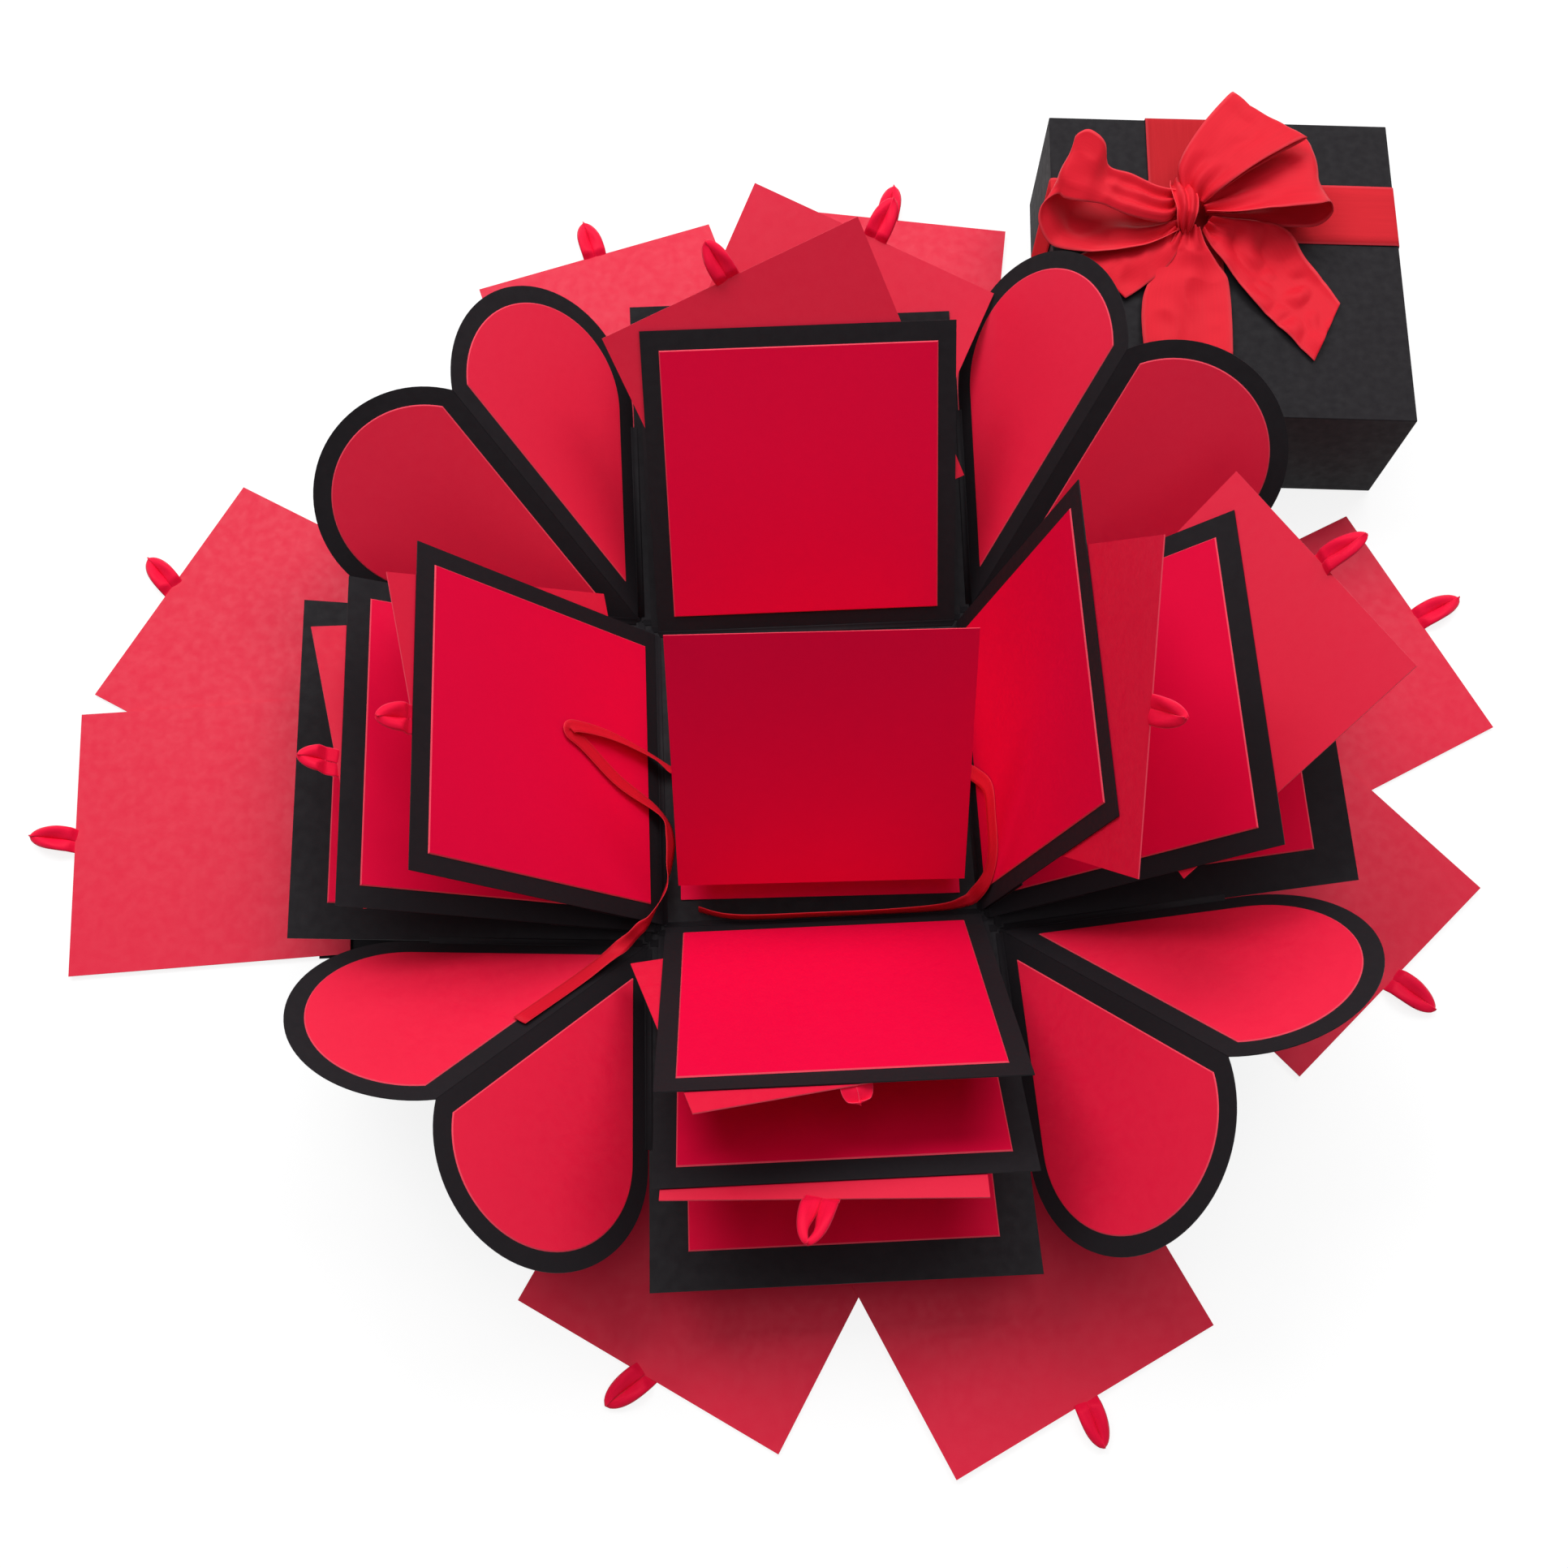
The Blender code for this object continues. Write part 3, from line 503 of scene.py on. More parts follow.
def make_tie(name, node, points):
    """A free end of the tie ribbon: a narrow band that bends with the panel that it lies on."""
    steps = TIE_STEPS
    places = [Vector(point[:3]) * MM for point in points]
    normals = [support_normal(point[3]) for point in points]
    leans = [Vector((math.radians(point[4]), 0, 0)) for point in points]
    line = [smooth_line(places, step / steps) for step in range(steps + 1)]
    sides, ups, flats, route = [], [], [], []
    for step, place in enumerate(line):
        tangent = (line[min(step + 1, steps)] - line[max(step - 1, 0)]).normalized()
        flat = tangent.cross(smooth_line(normals, step / steps)).normalized()
        lean = smooth_line(leans, step / steps).x
        up = flat.cross(tangent)
        sides.append(flat * math.cos(lean) + up * math.sin(lean))
        ups.append(sides[-1].cross(tangent))
        flats.append(math.cos(lean))
        route.append(place + up * (TIE_WIDTH / 2 * abs(math.sin(lean))))

    def spot(across, along):
        index = round(along * steps)
        curl = TIE_CURL * (2 * across - 1) ** 2 * flats[index]
        return route[index] + sides[index] * (TIE_WIDTH * (across - 0.5)) + ups[index] * curl

    form = grid_sheet(spot, TIE_COLUMNS, steps)
    piece = finish_piece(name, form, (TIE_SATIN,), None, node, True)
    thicken(piece, RIBBON_SHEET / 2)
    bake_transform(piece)


# Card pieces

def make_mats():
    for layer in LAYERS:
        width, height, inset = LAYERS[layer][:3]
        for side in SIDES:
            # a sloped edge in the edge colour, a painted highlight line along the mat's border
            outline, crown = [rectangle(cut - width / 2, width / 2 - cut, cut, height - cut)
                              for cut in (inset, inset + MAT_CHAMFER)]
            low = BLACK_SHEET / 2 + GAP / 2
            top = BLACK_SHEET / 2 + GAP + MAT_SHEET
            form = flat_sheet(outline, low, top, panel_frame(side, layer), crown)
            finish_piece(f"red_mat_{layer}_{side}", form, (DEEP_RED, RED_EDGE_AND_HIGHLIGHT), f"{layer}_{side}",
                         f"mat_{layer}_{side}")


def heart_outline(reach, inset, cut):
    """Half a heart: X along its hinge, a straight centre fold, and a round lobe a little past the notch."""
    width = reach * math.sin(HEART_HALF_ANGLE)
    lobe = width * HEART_LOBE_SHARE
    middle = reach * math.cos(HEART_HALF_ANGLE) + math.sqrt(lobe ** 2 - (width - lobe) ** 2)
    round_part = lobe - inset
    start = -math.pi / 2
    from_fold = middle * math.sin(HEART_HALF_ANGLE) - lobe * math.cos(HEART_HALF_ANGLE)
    end = HEART_HALF_ANGLE + math.asin((from_fold - inset) / round_part)
    points = []
    for step in range(HEART_STEPS + 1):
        turn = start + (end - start) * step / HEART_STEPS
        points.append((middle + round_part * math.cos(turn), lobe + round_part * math.sin(turn)))
    tip = inset / math.tan(HEART_HALF_ANGLE / 2)
    points.append((tip + cut * math.cos(HEART_HALF_ANGLE), inset + cut * math.sin(HEART_HALF_ANGLE)))
    points.append((tip + cut, inset))
    return points


def heart_place(side, other, end):
    """A half heart's frame: origin at its tip, X along its hinge, Y across it towards the centre fold."""
    base = panel_frame(side, "outer")
    ridge = base.to_3x3().inverted() @ heart_ridge(side, other)
    fold = math.atan2(ridge.z, ridge.x * end)
    along = Vector((0, 1, 0))
    across = Vector((end * math.cos(fold), 0, math.sin(fold)))
    turn = Matrix((along, across, along.cross(across))).transposed().to_4x4()
    tip = (end * (LAYERS["outer"][0] / 2 + HEART_HINGE_GAP), HEART_HINGE_GAP, 0)
    return base @ Matrix.Translation(tip) @ turn


def make_hearts():
    half = BLACK_SHEET / 2
    for corner, (first, second, share) in HEARTS.items():
        reach = share * LAYERS["outer"][1]
        for side, other, end in ((first, second, 1), (second, first, -1)):
            name = f"heart_{corner}_on_{side}"
            place = heart_place(side, other, end)
            card = flat_sheet(heart_outline(reach, 0.0, HEART_TIP_CUT), -half, half, place)
            finish_piece(name + "_card", card, (BLACK, BLACK), name, name)
            make_hinge(name, place, end, reach)
            top = -end
            outline, crown = [heart_outline(reach, cut, HEART_MAT_TIP_CUT)
                              for cut in (HEART_BORDER, HEART_BORDER + MAT_CHAMFER)]
            mat = flat_sheet(outline, half * top, (half + MAT_SHEET) * top, place, crown)
            # the heart's mat, in the red card lightened as painted light
            finish_piece(name + "_mat", mat, (HEART_RED_PAINTED_LIGHT, RED_EDGE_AND_HIGHLIGHT), name, None)


# The strips of card over the folds: how far they reach on each side, their thickness, and half the length
# over which they bend
HINGE_REACH, CREASE_REACH = 1.5 * MM, 1.6 * MM
CREASE_SHEET = 0.18 * MM
CREASE_COLUMNS, CREASE_STEPS = 2, 6
HINGE_TIP_GAP = 2.0 * MM
CREASE_ENDS_GAP = 1.6 * MM


def make_hinge(name, place, end, reach):
    """The crease between a half heart and its outer panel, a strip over both along the hinge."""
    length = reach * math.cos(HEART_HALF_ANGLE)
    lift = (BLACK_SHEET / 2 + CREASE_SHEET / 2) * -end
    panel_side = place.inverted().to_3x3() @ panel_normal(name)
    # across the hinge, away from the heart, along the panel's inner face
    away = Vector((1, 0, 0)).cross(panel_side).normalized()
    away = away if away.y < 0 else -away
    near = away * (HINGE_REACH + HEART_HINGE_GAP) + panel_side * (BLACK_SHEET / 2 + CREASE_SHEET / 2)
    far = Vector((0, HINGE_REACH, lift))
    corner = (panel_side * (BLACK_SHEET / 2) + Vector((0, 0, lift))) * 0.5

    def spot(across, along):
        x = HINGE_TIP_GAP + (length - HINGE_TIP_GAP) * across
        return place @ (Vector((x, 0, 0)) + bend_between(near, corner, far, along))

    form = grid_sheet(spot, CREASE_COLUMNS, CREASE_STEPS)
    piece = finish_piece(name + "_hinge", form, (BLACK,), None, None, True)
    thicken(piece, CREASE_SHEET)
    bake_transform(piece)


def bend_between(near, corner, far, along):
    """A point of the round bend from one place to another by way of a corner."""
    return near * (1 - along) ** 2 + corner * (2 * along * (1 - along)) + far * along ** 2


def panel_normal(name):
    """The inner normal of the outer panel that a half heart's name ends with."""
    return panel_frame(name.split("_on_")[1], "outer").to_3x3() @ Vector((0, 0, 1))


# The web under each corner: how far it reaches in and out of the base's corner, and its two levels
WEB_IN, WEB_OUT = 1.6 * MM, 4.4 * MM
WEB_LOW, WEB_TOP = 0.02 * MM, 0.2 * MM


def make_corners():
    """The web of card under each corner of the outer base, where the hearts' tips meet it."""
    half = LAYERS["outer"][0] / 2
    for corner, sides in HEARTS.items():
        turn = Matrix.Rotation(math.radians(SIDES[sides[0]]), 4, "Z")
        outline = rectangle(half - WEB_IN, half + WEB_OUT, half - WEB_IN, half + WEB_OUT)
        form = flat_sheet(outline, WEB_LOW, WEB_TOP, turn)
        finish_piece("corner_web_" + corner, form, (BLACK, BLACK), "base", None)


# Pull cards: where along its length a card starts to spring, how evenly it does so across, and the steps of
# its mesh
SPRING_START = 0.45
SPRING_EVEN = 0.6
CARD_STEPS = 16
# How far a card's free end springs, in millimetres: of the inner and middle pockets, and of the second card
# of an outer pocket, over the first one's
POCKET_SPRING = (-0.15, 0.1)
SECOND_SPRING = (0.3, 1.4)
FIRST_SPRING = 0.12 * MM
# Ribbon loops: half their width and the eye between their runs, and both for the wide open one
LOOP_BELLY = (5.0, 5.8)
LOOP_EYE = 0.25 * MM
WIDE_BELLY, WIDE_EYE = 6.3 * MM, 1.3 * MM
LOOP_DROOP = 4.0 * MM
LOOP_SHEET = 0.25 * MM
# How far a loop is glued under its card, the gap there, and the card's sag over it as a share of its spring
LOOP_GLUED = 2.5 * MM
LOOP_GAP = 0.15 * MM
LOOP_SAG = 0.12
# How deep each run is cupped, in millimetres, the lift of the upper run, and where along the loop it grows
LOOP_CUP = (2.2, 3.4)
LOOP_OVER = 0.35 * MM
LOOP_FREE_START, LOOP_FREE_REACH = 1.5 * MM, 3 * MM
# A run's least half width, its least rise, its outer edge turned down, its fuller side, its raised tip, and
# its crumple
LOOP_LEAST, LOOP_CLEAR, LOOP_TURNED = 0.3 * MM, 0.3 * MM, 1.3 * MM
LOOP_FULLER, LOOP_TIP_RISE, LOOP_CRUMPLE = 0.5 * MM, 1.6 * MM, 0.25 * MM
LOOP_COLUMNS, LOOP_STEPS = 8, 24
# The room that a panel leaves as it passes over a loop: its height, its slope outside, and the panel's margin
ROOM_HEIGHT = 0.3 * MM
ROOM_SLOPE = 0.7
ROOM_MARGIN = 0.6 * MM


def make_card(name, place, tip, body, lift, room=None):
    """A pull card, a little sprung where nothing holds it, and its folded ribbon loop."""
    corner = rng.choice((-1, 1))

    def spot(across, along):
        x, y = (across - 0.5) * CARD_SIDE, (along - 0.5) * CARD_SIDE
        free = max(0.0, along - SPRING_START) / (1 - SPRING_START)
        reach = free * free * (SPRING_EVEN + (1 - SPRING_EVEN) * corner * (2 * across - 1))
        return place @ Vector((x, y, lift * reach))

    form = grid_sheet(spot, CARD_STEPS, CARD_STEPS)
    piece = finish_piece(name + "_sheet", form, (RED, RED_EDGE_AND_HIGHLIGHT), body, name)
    thicken(piece, CARD_SHEET, 1)
    belly, eye, droop = rng.uniform(*LOOP_BELLY) * MM, LOOP_EYE, None
    if name == "card_middle_front":
        belly, eye = WIDE_BELLY, WIDE_EYE
    if name == "card_inner_front":
        droop = LOOP_DROOP
    make_loop(name + "_loop", place, tip, body, lift * SPRING_EVEN, belly, eye, droop, room)


def make_loop(name, place, tip, body, lift, belly, eye, droop, room):
    """A pull loop: a ribbon glued under the card's edge and folded back, its two runs side by side.

    Where the card's panel passes over it as the card is pushed in, it lies low. One with a droop hangs behind
    the card.
    """
    start = Vector((0, CARD_SIDE / 2 - LOOP_GLUED, lift))
    reach = Vector((tip[0] * MM, tip[1] * MM, lift)) - start
    length = reach.length
    forward = reach.normalized()
    sideways = Vector((forward.y, -forward.x, 0))
    under = -(CARD_SHEET / 2 + LOOP_GAP + LOOP_SAG * abs(lift))
    form = bmesh.new()
    form.loops.layers.uv.new("ribbon")
    twist = rng.uniform(-0.5, 0.5)
    for side in (-1, 1):
        cup = rng.uniform(*LOOP_CUP) * MM
        over = LOOP_OVER if side > 0 else 0.0

        def spot(across, along, side=side, cup=cup, over=over):
            taper = (1 - 0.12 * along - 0.88 * along ** 5) ** 0.7
            swell = math.sin(math.pi * min(1.0, 0.12 + 0.88 * along))
            outer = belly * (0.92 + 0.12 * math.sin(math.pi * along ** 0.8)) * taper + LOOP_LEAST
            slit = eye * math.sin(math.pi * along ** 2.2) ** 2 * (1 - 0.5 * across) - LOOP_LEAST
            x = side * (slit + (outer - slit) * across)
            free = min(1.0, max(0.0, (along * length - LOOP_FREE_START) / LOOP_FREE_REACH))
            rise = LOOP_CLEAR + over
            rise += cup * swell * math.sin(0.5 * math.pi * across) ** 0.8 - LOOP_TURNED * swell * across ** 5
            rise += (1 + side * twist) * LOOP_FULLER * swell + LOOP_TIP_RISE * along ** 3 * (1 - across)
            rise += LOOP_CRUMPLE * math.sin(9 * along + 4 * across + twist) * swell
            z = under + free * (rise - under)
            point = start + forward * (length * along) + sideways * x
            if droop:
                z = under - free * (rise + droop * along)
            elif room:
                z = min(z, room(point.x, point.y) - lift)
            return place @ (point + Vector((0, 0, z)))

        half_form = grid_sheet(spot, LOOP_COLUMNS, LOOP_STEPS)
        strand = bpy.data.meshes.new("strand")
        half_form.to_mesh(strand)
        half_form.free()
        form.from_mesh(strand)
        bpy.data.meshes.remove(strand)
    thicken(finish_piece(name, form, (LOOP_SATIN,), body, None, True), LOOP_SHEET)


def make_cards():
    for (layer, side), (across, up, twist, tip, push) in POCKET_CARDS.items():
        width, height = LAYERS[layer][:2]
        name = f"card_{layer}_{side}"
        on_panel = Matrix.Translation((across * width, up * height, 0))
        on_panel = on_panel @ Matrix.Rotation(math.radians(twist), 4, "Z")
        place = panel_frame(side, layer) @ Matrix.Translation((0, 0, -CARD_DEPTH)) @ on_panel
        pushed = on_panel @ Matrix.Translation((0, -push * MM, 0))

        def room(x, y, pushed=pushed, width=width, height=height):
            point = pushed @ Vector((x, y, 0))
            past = point.y - height - ROOM_MARGIN
            beside = abs(point.x) - width / 2 - ROOM_MARGIN
            return ROOM_HEIGHT + ROOM_SLOPE * max(0.0, past, beside)

        make_card(name, place, tip, name, rng.uniform(*POCKET_SPRING) * MM, room)
    for side, cards in OUTER_CARDS.items():
        for number, (across, out, twist, tip) in enumerate(cards):
            rise = CARD_DEPTH + number * (CARD_SHEET + GAP)
            place = side_frame(side, "outer")
            place = place @ Matrix.Translation((across * LAYERS["outer"][0], out * LAYERS["outer"][1], rise))
            place = place @ Matrix.Rotation(math.radians(twist), 4, "Z")
            name = f"card_outer_{side}_{number + 1}"
            make_card(name, place, tip, name, rng.uniform(*SECOND_SPRING) * MM if number else FIRST_SPRING)


# Album

def make_album():
    """The accordion album: the bottom leaf, and the middle leaf and cover folded up from it in turn."""
    side = ALBUM["side"]
    half = side / 2
    level = base_level("inner") + BLACK_SHEET / 2 + GAP + CARD_SHEET + GAP / 2
    turn = Matrix.Rotation(math.radians(ALBUM["turn"]), 4, "Z")
    back_fold = turn @ Matrix.Translation((ALBUM["x"], ALBUM["back"], level))
    top = -GAP / 2
    low = GAP / 2
    # the album's leaves take the mats' card lightened as painted light
    form = flat_sheet(rectangle(-half, half, -side, 0), top - CARD_SHEET, top, back_fold)
    finish_piece("album_bottom_sheet", form, (ALBUM_RED_PAINTED_LIGHT, RED_EDGE_AND_HIGHLIGHT), "base", "album_bottom_leaf")
    leaf = back_fold @ Matrix.Rotation(math.radians(-ALBUM["leaf"]), 4, "X")
    form = flat_sheet(rectangle(-half, half, FOLD_START - side, -FOLD_START), low, low + CARD_SHEET, leaf)
    finish_piece("album_middle_sheet", form, (ALBUM_RED_PAINTED_LIGHT, RED_EDGE_AND_HIGHLIGHT), "album_middle", "album_middle_leaf")
    front_fold = leaf @ Matrix.Translation((0, -side, GAP + CARD_SHEET))
    cover = front_fold @ Matrix.Rotation(math.radians(ALBUM["cover"] + ALBUM["leaf"]), 4, "X")
    form = flat_sheet(rectangle(-half, half, FOLD_START, side), low, low + CARD_SHEET, cover)
    finish_piece("album_cover_sheet", form, (ALBUM_RED_PAINTED_LIGHT, RED_EDGE_AND_HIGHLIGHT), "album_cover", "album_cover")


# Creases: the rounded fold between each base and its panels

def make_creases():
    lift = BLACK_SHEET / 2 + CREASE_SHEET / 2
    for layer in LAYERS:
        width, tilts = LAYERS[layer][0], LAYERS[layer][4]
        for side in SIDES:
            tilt = math.radians(tilts[side])
            place = side_frame(side, layer)
            inner = Vector((0, -CREASE_REACH, lift))
            outer = Vector((0, math.cos(tilt), math.sin(tilt))) * CREASE_REACH
            outer += Vector((0, -math.sin(tilt), math.cos(tilt))) * lift
            corner = Vector((0, -lift * math.tan(tilt / 2), lift))

            def spot(across, along, place=place, inner=inner, corner=corner, outer=outer, width=width):
                x = (across - 0.5) * (width - CREASE_ENDS_GAP)
                return place @ (bend_between(inner, corner, outer, along) + Vector((x, 0, 0)))

            name = f"crease_{layer}_{side}"
            form = grid_sheet(spot, CREASE_COLUMNS, CREASE_STEPS)
            piece = finish_piece(name, form, (BLACK,), None, None, True)
            thicken(piece, CREASE_SHEET)
            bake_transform(piece)


# Lid, band and bow

def lid_frame():
    return Matrix.Translation((LID["x"], LID["y"], 0)) @ Matrix.Rotation(math.radians(LID["turn"]), 4, "Z")


def make_lid():
    """The lid, open below, with the soft edges of wrapped card."""
    form = bmesh.new()
    outer, top = LID["side"] / 2, LID["height"]
    inner = outer - LID["wall"]
    place = lid_frame()
    rings = []
    for half, height in ((outer, 0), (outer, top), (inner, 0), (inner, top - LID["wall"])):
        square = rectangle(-half, half, -half, half)
        rings.append([form.verts.new(place @ Vector((x, y, height))) for x, y in square])
    rim_out, top_out, rim_in, top_in = rings
    form.faces.new(top_out)
    form.faces.new(top_in)
    for index in range(4):
        after = (index + 1) % 4
        form.faces.new((rim_out[index], rim_out[after], top_out[after], top_out[index]))
        form.faces.new((rim_in[index], rim_in[after], top_in[after], top_in[index]))
        form.faces.new((rim_out[index], rim_out[after], rim_in[after], rim_in[index]))
    piece = finish_piece("lid_box", form, (BLACK,), "lid", "lid")
    soft = piece.modifiers.new("soft_edges", "BEVEL")
    soft.width = LID_SOFT_EDGE
    soft.segments = 3
    soft.limit_method = "ANGLE"
    soft.harden_normals = True


# The lid's ribbon: how far the lower band lies off the lid and the upper one off it, the gap to the rim, how
# it rounds the lid's edge, and its waves on the top, by the metre
BAND_OFF, BAND_STACK = 0.45 * MM, 0.4 * MM
BAND_RIM = 1.0 * MM
BAND_ROUND, BAND_CORNER = 1.2 * MM, 0.35 * MM
BAND_SHEET = 0.2 * MM
BAND_WAVE, BAND_WAVES_ALONG, BAND_WAVES_ACROSS = 0.10 * MM, 90, 60
BAND_COLUMNS, BAND_STEPS = 6, 120


def make_band():
    """The lid's ribbon: two bands crossed on the top, each with a flap down both walls."""
    place = lid_frame()
    half, top = LID["side"] / 2, LID["height"]
    width = BAND["width"]
    # Both bands are the bow's ribbon with painted shade, the band along darker than the band across
    for name, across_x, centre, lift, satin in (
            ("lid_band_across", False, BAND["y"], BAND_OFF, ACROSS_BAND_SATIN_PAINTED_SHADE),
            ("lid_band_along", True, BAND["x"], BAND_OFF + BAND_STACK, ALONG_BAND_SATIN_PAINTED_SHADE)):
        line = [(-half - lift, BAND_RIM), (-half - lift, top * 0.5), (-half - lift, top - BAND_ROUND),
                (-half - lift + BAND_CORNER, top + lift - BAND_CORNER), (-half + BAND_ROUND, top + lift)]
        line += [(share * half, top + lift) for share in (-0.8, -0.5, -0.2, 0.1, 0.4, 0.7)]
        line += [(-a, b) for a, b in reversed(line[:5])]
        path = [Vector((a, b, 0)) for a, b in line]

        def spot(across, along, path=path, across_x=across_x, centre=centre):
            at = along * (len(path) - 1)
            first = min(int(at), len(path) - 2)
            point = path[first].lerp(path[first + 1], at - first)
            side = centre + (across - 0.5) * width
            phase = point.x * BAND_WAVES_ALONG + side * BAND_WAVES_ACROSS
            wave = BAND_WAVE * math.sin(phase) if point.y > top else 0.0
            if across_x:
                return place @ Vector((side, point.x, point.y + wave))
            return place @ Vector((point.x, side, point.y + wave))

        node = "lid_ribbon" if across_x else None
        form = grid_sheet(spot, BAND_COLUMNS, BAND_STEPS)
        piece = finish_piece(name, form, (satin,), "lid", node, True)
        thicken(piece, BAND_SHEET)


# The corner and the zoom of the enlarged view of the photograph that the bow's points are pixels of
BOW_VIEW_LEFT, BOW_VIEW_TOP, BOW_VIEW_ZOOM = 1260, 90, 3.0
# Rows of the bow's ribbons, from the knot out: each row's two edge points, with their heights in millimetres
BOW_TOP_LOOP = (
    ((590, 440, 75), (672, 480, 76)), ((574, 345, 79), (735, 430, 83)), ((634, 232, 84), (838, 352, 89)),
    ((706, 140, 87), (955, 282, 92)), ((768, 76, 89), (1045, 238, 93)), ((776, 92, 86), (1036, 252, 90)),
    ((745, 175, 82), (955, 296, 86)), ((690, 300, 79), (820, 372, 81)), ((640, 430, 75), (690, 460, 75)),
)
BOW_RIGHT_LOOP = (
    ((650, 470, 74), (682, 515, 75)), ((730, 385, 75), (790, 515, 79)), ((830, 300, 78), (920, 498, 83)),
    ((930, 232, 81), (1030, 488, 86)), ((1020, 222, 84), (1100, 482, 87)), ((1062, 262, 84), (1138, 478, 84)),
    ((1058, 290, 79), (1142, 520, 77)), ((985, 300, 72), (1090, 562, 70)), ((860, 340, 68), (990, 566, 67)),
    ((740, 420, 69), (840, 550, 68)), ((670, 480, 71), (690, 535, 71)),
)
BOW_LEFT_LOOP = (
    ((590, 440, 75), (585, 505, 74)), ((500, 425, 78), (525, 545, 77)), ((400, 378, 81), (400, 524, 80)),
    ((318, 344, 85), (300, 486, 82)), ((303, 255, 92), (215, 474, 84)), ((246, 208, 95), (156, 462, 83)),
    ((196, 236, 93), (132, 446, 82)), ((214, 280, 86), (100, 458, 81)), ((232, 340, 78), (66, 495, 80)),
    ((262, 385, 70.5), (60, 556, 76)), ((305, 425, 67.5), (104, 634, 70)), ((365, 445, 67), (205, 660, 69)),
    ((440, 460, 68), (330, 660, 70)), ((525, 480, 70.5), (470, 635, 71)), ((572, 500, 73), (580, 585, 72)),
)
BOW_LEFT_TAIL = (
    ((548, 552, 72), (592, 600, 72)), ((470, 580, 69.3), (566, 672, 69)), ((375, 605, 67.2), (522, 728, 67)),
    ((288, 635, 66), (450, 785, 65.5)), ((208, 672, 65), (380, 832, 64.6)),
)
BOW_CENTRE_TAIL = (
    ((582, 556, 73), (655, 566, 73)), ((547, 630, 70), (680, 632, 70)), ((492, 723, 67), (722, 702, 67)),
    ((452, 806, 65.4), (757, 757, 65.4)), ((441, 878, 64.6), (768, 839, 64.6)),
    ((443, 961, 64.3), (773, 925, 64.3)), ((456, 1076, 64.3), (776, 1043, 64.3)),
)
BOW_RIGHT_TAIL = (
    ((700, 529, 73), (664, 579, 72)), ((818, 542, 70.5), (690, 632, 69.5)), ((965, 575, 68), (766, 728, 67)),
    ((1050, 690, 66), (857, 842, 65.3)), ((1122, 777, 64.9), (975, 956, 64.7)),
    ((1176, 849, 64.4), (1081, 1061, 64.3)),
)
BOW_WRAP = (
    ((546, 404, 70), (612, 390, 70)), ((545, 424, 75), (636, 420, 76)), ((556, 456, 79), (652, 462, 79.5)),
    ((570, 500, 79), (648, 512, 79.5)), ((572, 545, 76.5), (634, 556, 76.5)),
    ((580, 582, 72), (620, 588, 72)),
)
# Each ribbon's rows and steps along, how it is held, its swell and crumple in millimetres, and its CAD node
BOW_RIBBONS = {
    "bow_top_loop": (BOW_TOP_LOOP, 100, "folded", 0.6, 1.0, "bow_loops"),
    "bow_right_loop": (BOW_RIGHT_LOOP, 110, "folded", 1.0, 0.8, None),
    "bow_left_loop": (BOW_LEFT_LOOP, 130, "folded", 0.7, 1.4, None),
    "bow_left_tail": (BOW_LEFT_TAIL, 48, "laid", 0.5, 1.6, None),
    "bow_centre_tail": (BOW_CENTRE_TAIL, 70, "laid", 1.6, 1.0, "bow_tails"),
    "bow_right_tail": (BOW_RIGHT_TAIL, 80, "laid", 1.4, 3.6, None),
}
BOW_SHEET = 0.35 * MM
BOW_COLUMNS = 20
BOW_AHEAD = 0.02
# How soon the pleats open out from the knot, how many they are and how deep
PLEAT_FADE, PLEATS, PLEAT_DEPTH = 4.5, 2.5, 1.7 * MM
SLACK_WAVES, SLACK_TURN = 1.2, 4
CRUMPLE_SCALE, CRUMPLE_DEPTH = 75, 1.6
# The lowest height of a ribbon's middle over the lid's top, clear of the two bands
BOW_CLEARANCE = 1.35 * MM
# The knot: the centre of its core, the core's half sizes in millimetres, and the steps of its mesh
KNOT_CENTRE = (604, 494, 73.5)
KNOT_HALF_SIZES = (5.6, 6.0, 4.4)
KNOT_AROUND, KNOT_ALONG = 36, 16
KNOT_CREASES, KNOT_CREASE_DEPTH = 5, 0.12
WRAP_STEPS, WRAP_SWELL, WRAP_CRUMPLE, WRAP_TIGHT = 60, 0.6, 2.4, 0.45


def bow_point(px, py, height):
    return at_height(BOW_VIEW_LEFT + px / BOW_VIEW_ZOOM, BOW_VIEW_TOP + py / BOW_VIEW_ZOOM, height)


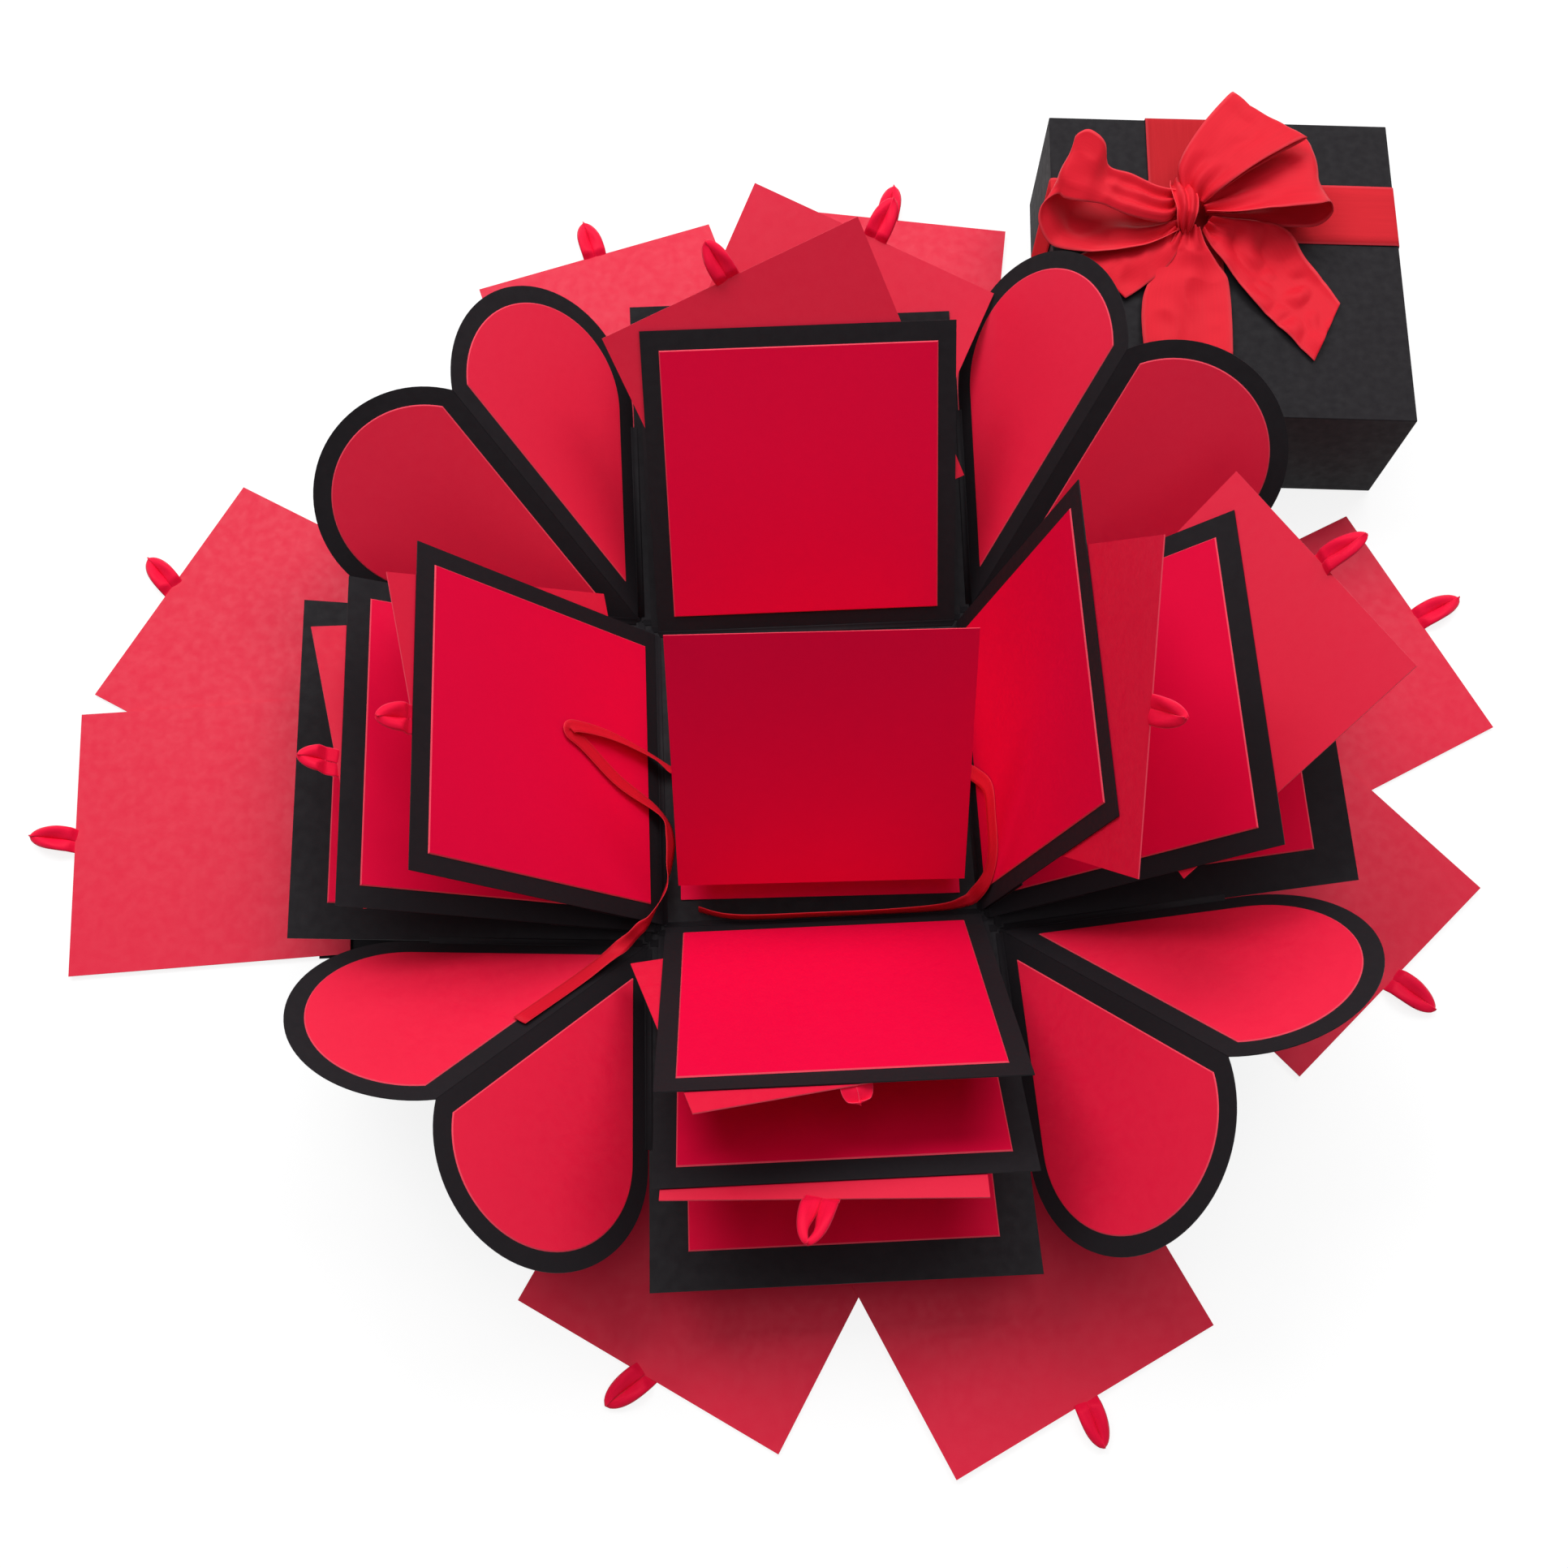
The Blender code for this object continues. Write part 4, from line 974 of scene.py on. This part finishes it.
def make_bow_ribbon(name, rows, steps, both_ends, swell, crush, node=None, tight=0.0):
    """A ribbon through its rows, gathered in pleats at the knot and fuller away from it, and its length."""
    far = [bow_point(*row[0]) for row in rows]
    near = [bow_point(*row[1]) for row in rows]
    phase = rng.uniform(0, math.pi)

    def spot(across, along):
        one, two = smooth_line(far, along), smooth_line(near, along)
        after, before = min(along + BOW_AHEAD, 1), max(along - BOW_AHEAD, 0)
        ahead = smooth_line(far, after) + smooth_line(near, after)
        behind = smooth_line(far, before) + smooth_line(near, before)
        normal = (ahead - behind).cross(two - one).normalized()
        gathered = max(0.0, 1 - along * PLEAT_FADE)
        if both_ends:
            gathered = max(gathered, 1 - (1 - along) * PLEAT_FADE)
        gathered = max(gathered, tight)
        pleat = math.sin(2 * math.pi * PLEATS * across + phase) * PLEAT_DEPTH * gathered ** 0.6
        slack = math.sin(2 * math.pi * SLACK_WAVES * across + SLACK_TURN * along + phase)
        slack *= 0.5 * swell * MM * (1 - gathered)
        full = swell * MM * 4 * across * (1 - across) * math.sin(math.pi * along)
        place = one.lerp(two, across)
        folds = 0.5 - abs(noise_at(place * CRUMPLE_SCALE + Vector((phase, 0, 0)))) * CRUMPLE_DEPTH
        # a crumple that fades at the edges and at the knot
        crumple = crush * MM * folds * math.sin(math.pi * (0.1 + 0.8 * across)) * min(1.0, 0.2 + 3 * along)
        place += normal * (pleat + slack + full + crumple)
        place.z = max(place.z, LID["height"] + BOW_CLEARANCE)
        return place

    form = grid_sheet(spot, BOW_COLUMNS, steps)
    piece = finish_piece(name, form, (SATIN,), "lid", node, True)
    thicken(piece, BOW_SHEET)
    middle = [spot(0.5, step / steps) for step in range(steps + 1)]
    length = sum((after - before).length for before, after in zip(middle, middle[1:]))
    return piece, round(length, 3)


def make_knot():
    """The knot: a small core with a gathered wrap over it from back to front."""
    centre = bow_point(*KNOT_CENTRE)
    long, wide, high = KNOT_HALF_SIZES
    form = bmesh.new()
    around, along = KNOT_AROUND, KNOT_ALONG
    rings = []
    for step in range(1, along):
        latitude = math.pi * (step / along - 0.5)
        ring = []
        for index in range(around):
            turn = 2 * math.pi * index / around
            crease = KNOT_CREASE_DEPTH * math.sin(KNOT_CREASES * turn + 2.6 * math.sin(3 * latitude))
            bulge = math.cos(latitude) ** 0.6 * (1 + crease)
            across, up = wide * math.cos(turn) * bulge, high * math.sin(turn) * bulge
            ring.append(form.verts.new(centre + Vector((long * math.sin(latitude), across, up)) * MM))
        rings.append(ring)
    for before, after in zip(rings, rings[1:]):
        for index in range(around):
            following = (index + 1) % around
            form.faces.new((before[index], before[following], after[following], after[index]))
    form.faces.new(rings[0])
    form.faces.new(rings[-1])
    core = finish_piece("bow_knot_core", form, (SATIN,), "lid", None, True)
    wrap, _ = make_bow_ribbon("bow_knot", BOW_WRAP, WRAP_STEPS, False, WRAP_SWELL, WRAP_CRUMPLE,
                              tight=WRAP_TIGHT)
    return core, wrap


def make_bow():
    knot = make_knot()
    for name, (rows, steps, held, swell, crumple, node) in BOW_RIBBONS.items():
        piece, length = make_bow_ribbon(name, rows, steps, held == "folded", swell, crumple, node)


# Floor, light and background

FLOOR_RADIUS, FLOOR_STEPS = 6.0, 96
WORLD_LIGHT = 0.21
LAMP_SIZE = 1.0
# Each lamp's place and power
LAMPS = {
    "window": ((0.0, 1.286, 1.532), 10),
    "window_left": ((-0.826, 0.985, 1.532), 17),
    "window_right": ((0.826, 0.985, 1.532), 12.5),
    "ceiling": ((0.0, 0.1, 2.0), 4.5),
    "room": ((0.0, -1.532, 1.286), 1.6),
}


def make_floor():
    form = bmesh.new()
    bmesh.ops.create_circle(form, cap_ends=True, segments=FLOOR_STEPS, radius=FLOOR_RADIUS)
    mesh = bpy.data.meshes.new("floor")
    form.to_mesh(mesh)
    form.free()
    mesh.materials.append(floor_material())
    floor = bpy.data.objects.new("floor", mesh)
    bpy.context.scene.collection.objects.link(floor)


def make_lamp(name, place, power):
    """A round lamp that faces the middle of the object."""
    data = bpy.data.lights.new(name, "AREA")
    data.shape = "DISK"
    data.size = LAMP_SIZE
    data.energy = power
    lamp = bpy.data.objects.new(name, data)
    bpy.context.scene.collection.objects.link(lamp)
    lamp.location = place
    lamp.rotation_euler = (-Vector(place)).to_track_quat("-Z", "Y").to_euler()


def make_light():
    scene = bpy.context.scene
    scene.view_settings.view_transform = "Standard"
    world = bpy.data.worlds.new("studio")
    scene.world = world
    world.use_nodes = True
    tree = world.node_tree
    tree.nodes.clear()
    soft = add_node(tree, "ShaderNodeBackground", {"Color": WHITE, "Strength": WORLD_LIGHT})
    white = add_node(tree, "ShaderNodeBackground", {"Color": WHITE, "Strength": 1.0})
    mix = add_mix(tree, soft, white, "World")
    tree.links.new(white_rays(tree), mix.inputs["Fac"])
    for name, (place, power) in LAMPS.items():
        make_lamp(name, place, power)


make_camera()
make_tie("tie_left", "tie_ribbon_left", TIE_LEFT)
make_tie("tie_right", "tie_ribbon_right", TIE_RIGHT)
# The folded panels and the bases are the CAD solids themselves
for name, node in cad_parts.items():
    if name.startswith(("panel_", "base_")):
        node.data.materials[0] = BLACK
make_mats()
make_hearts()
make_corners()
make_cards()
make_album()
make_creases()
make_lid()
make_band()
make_bow()
make_floor()
make_light()
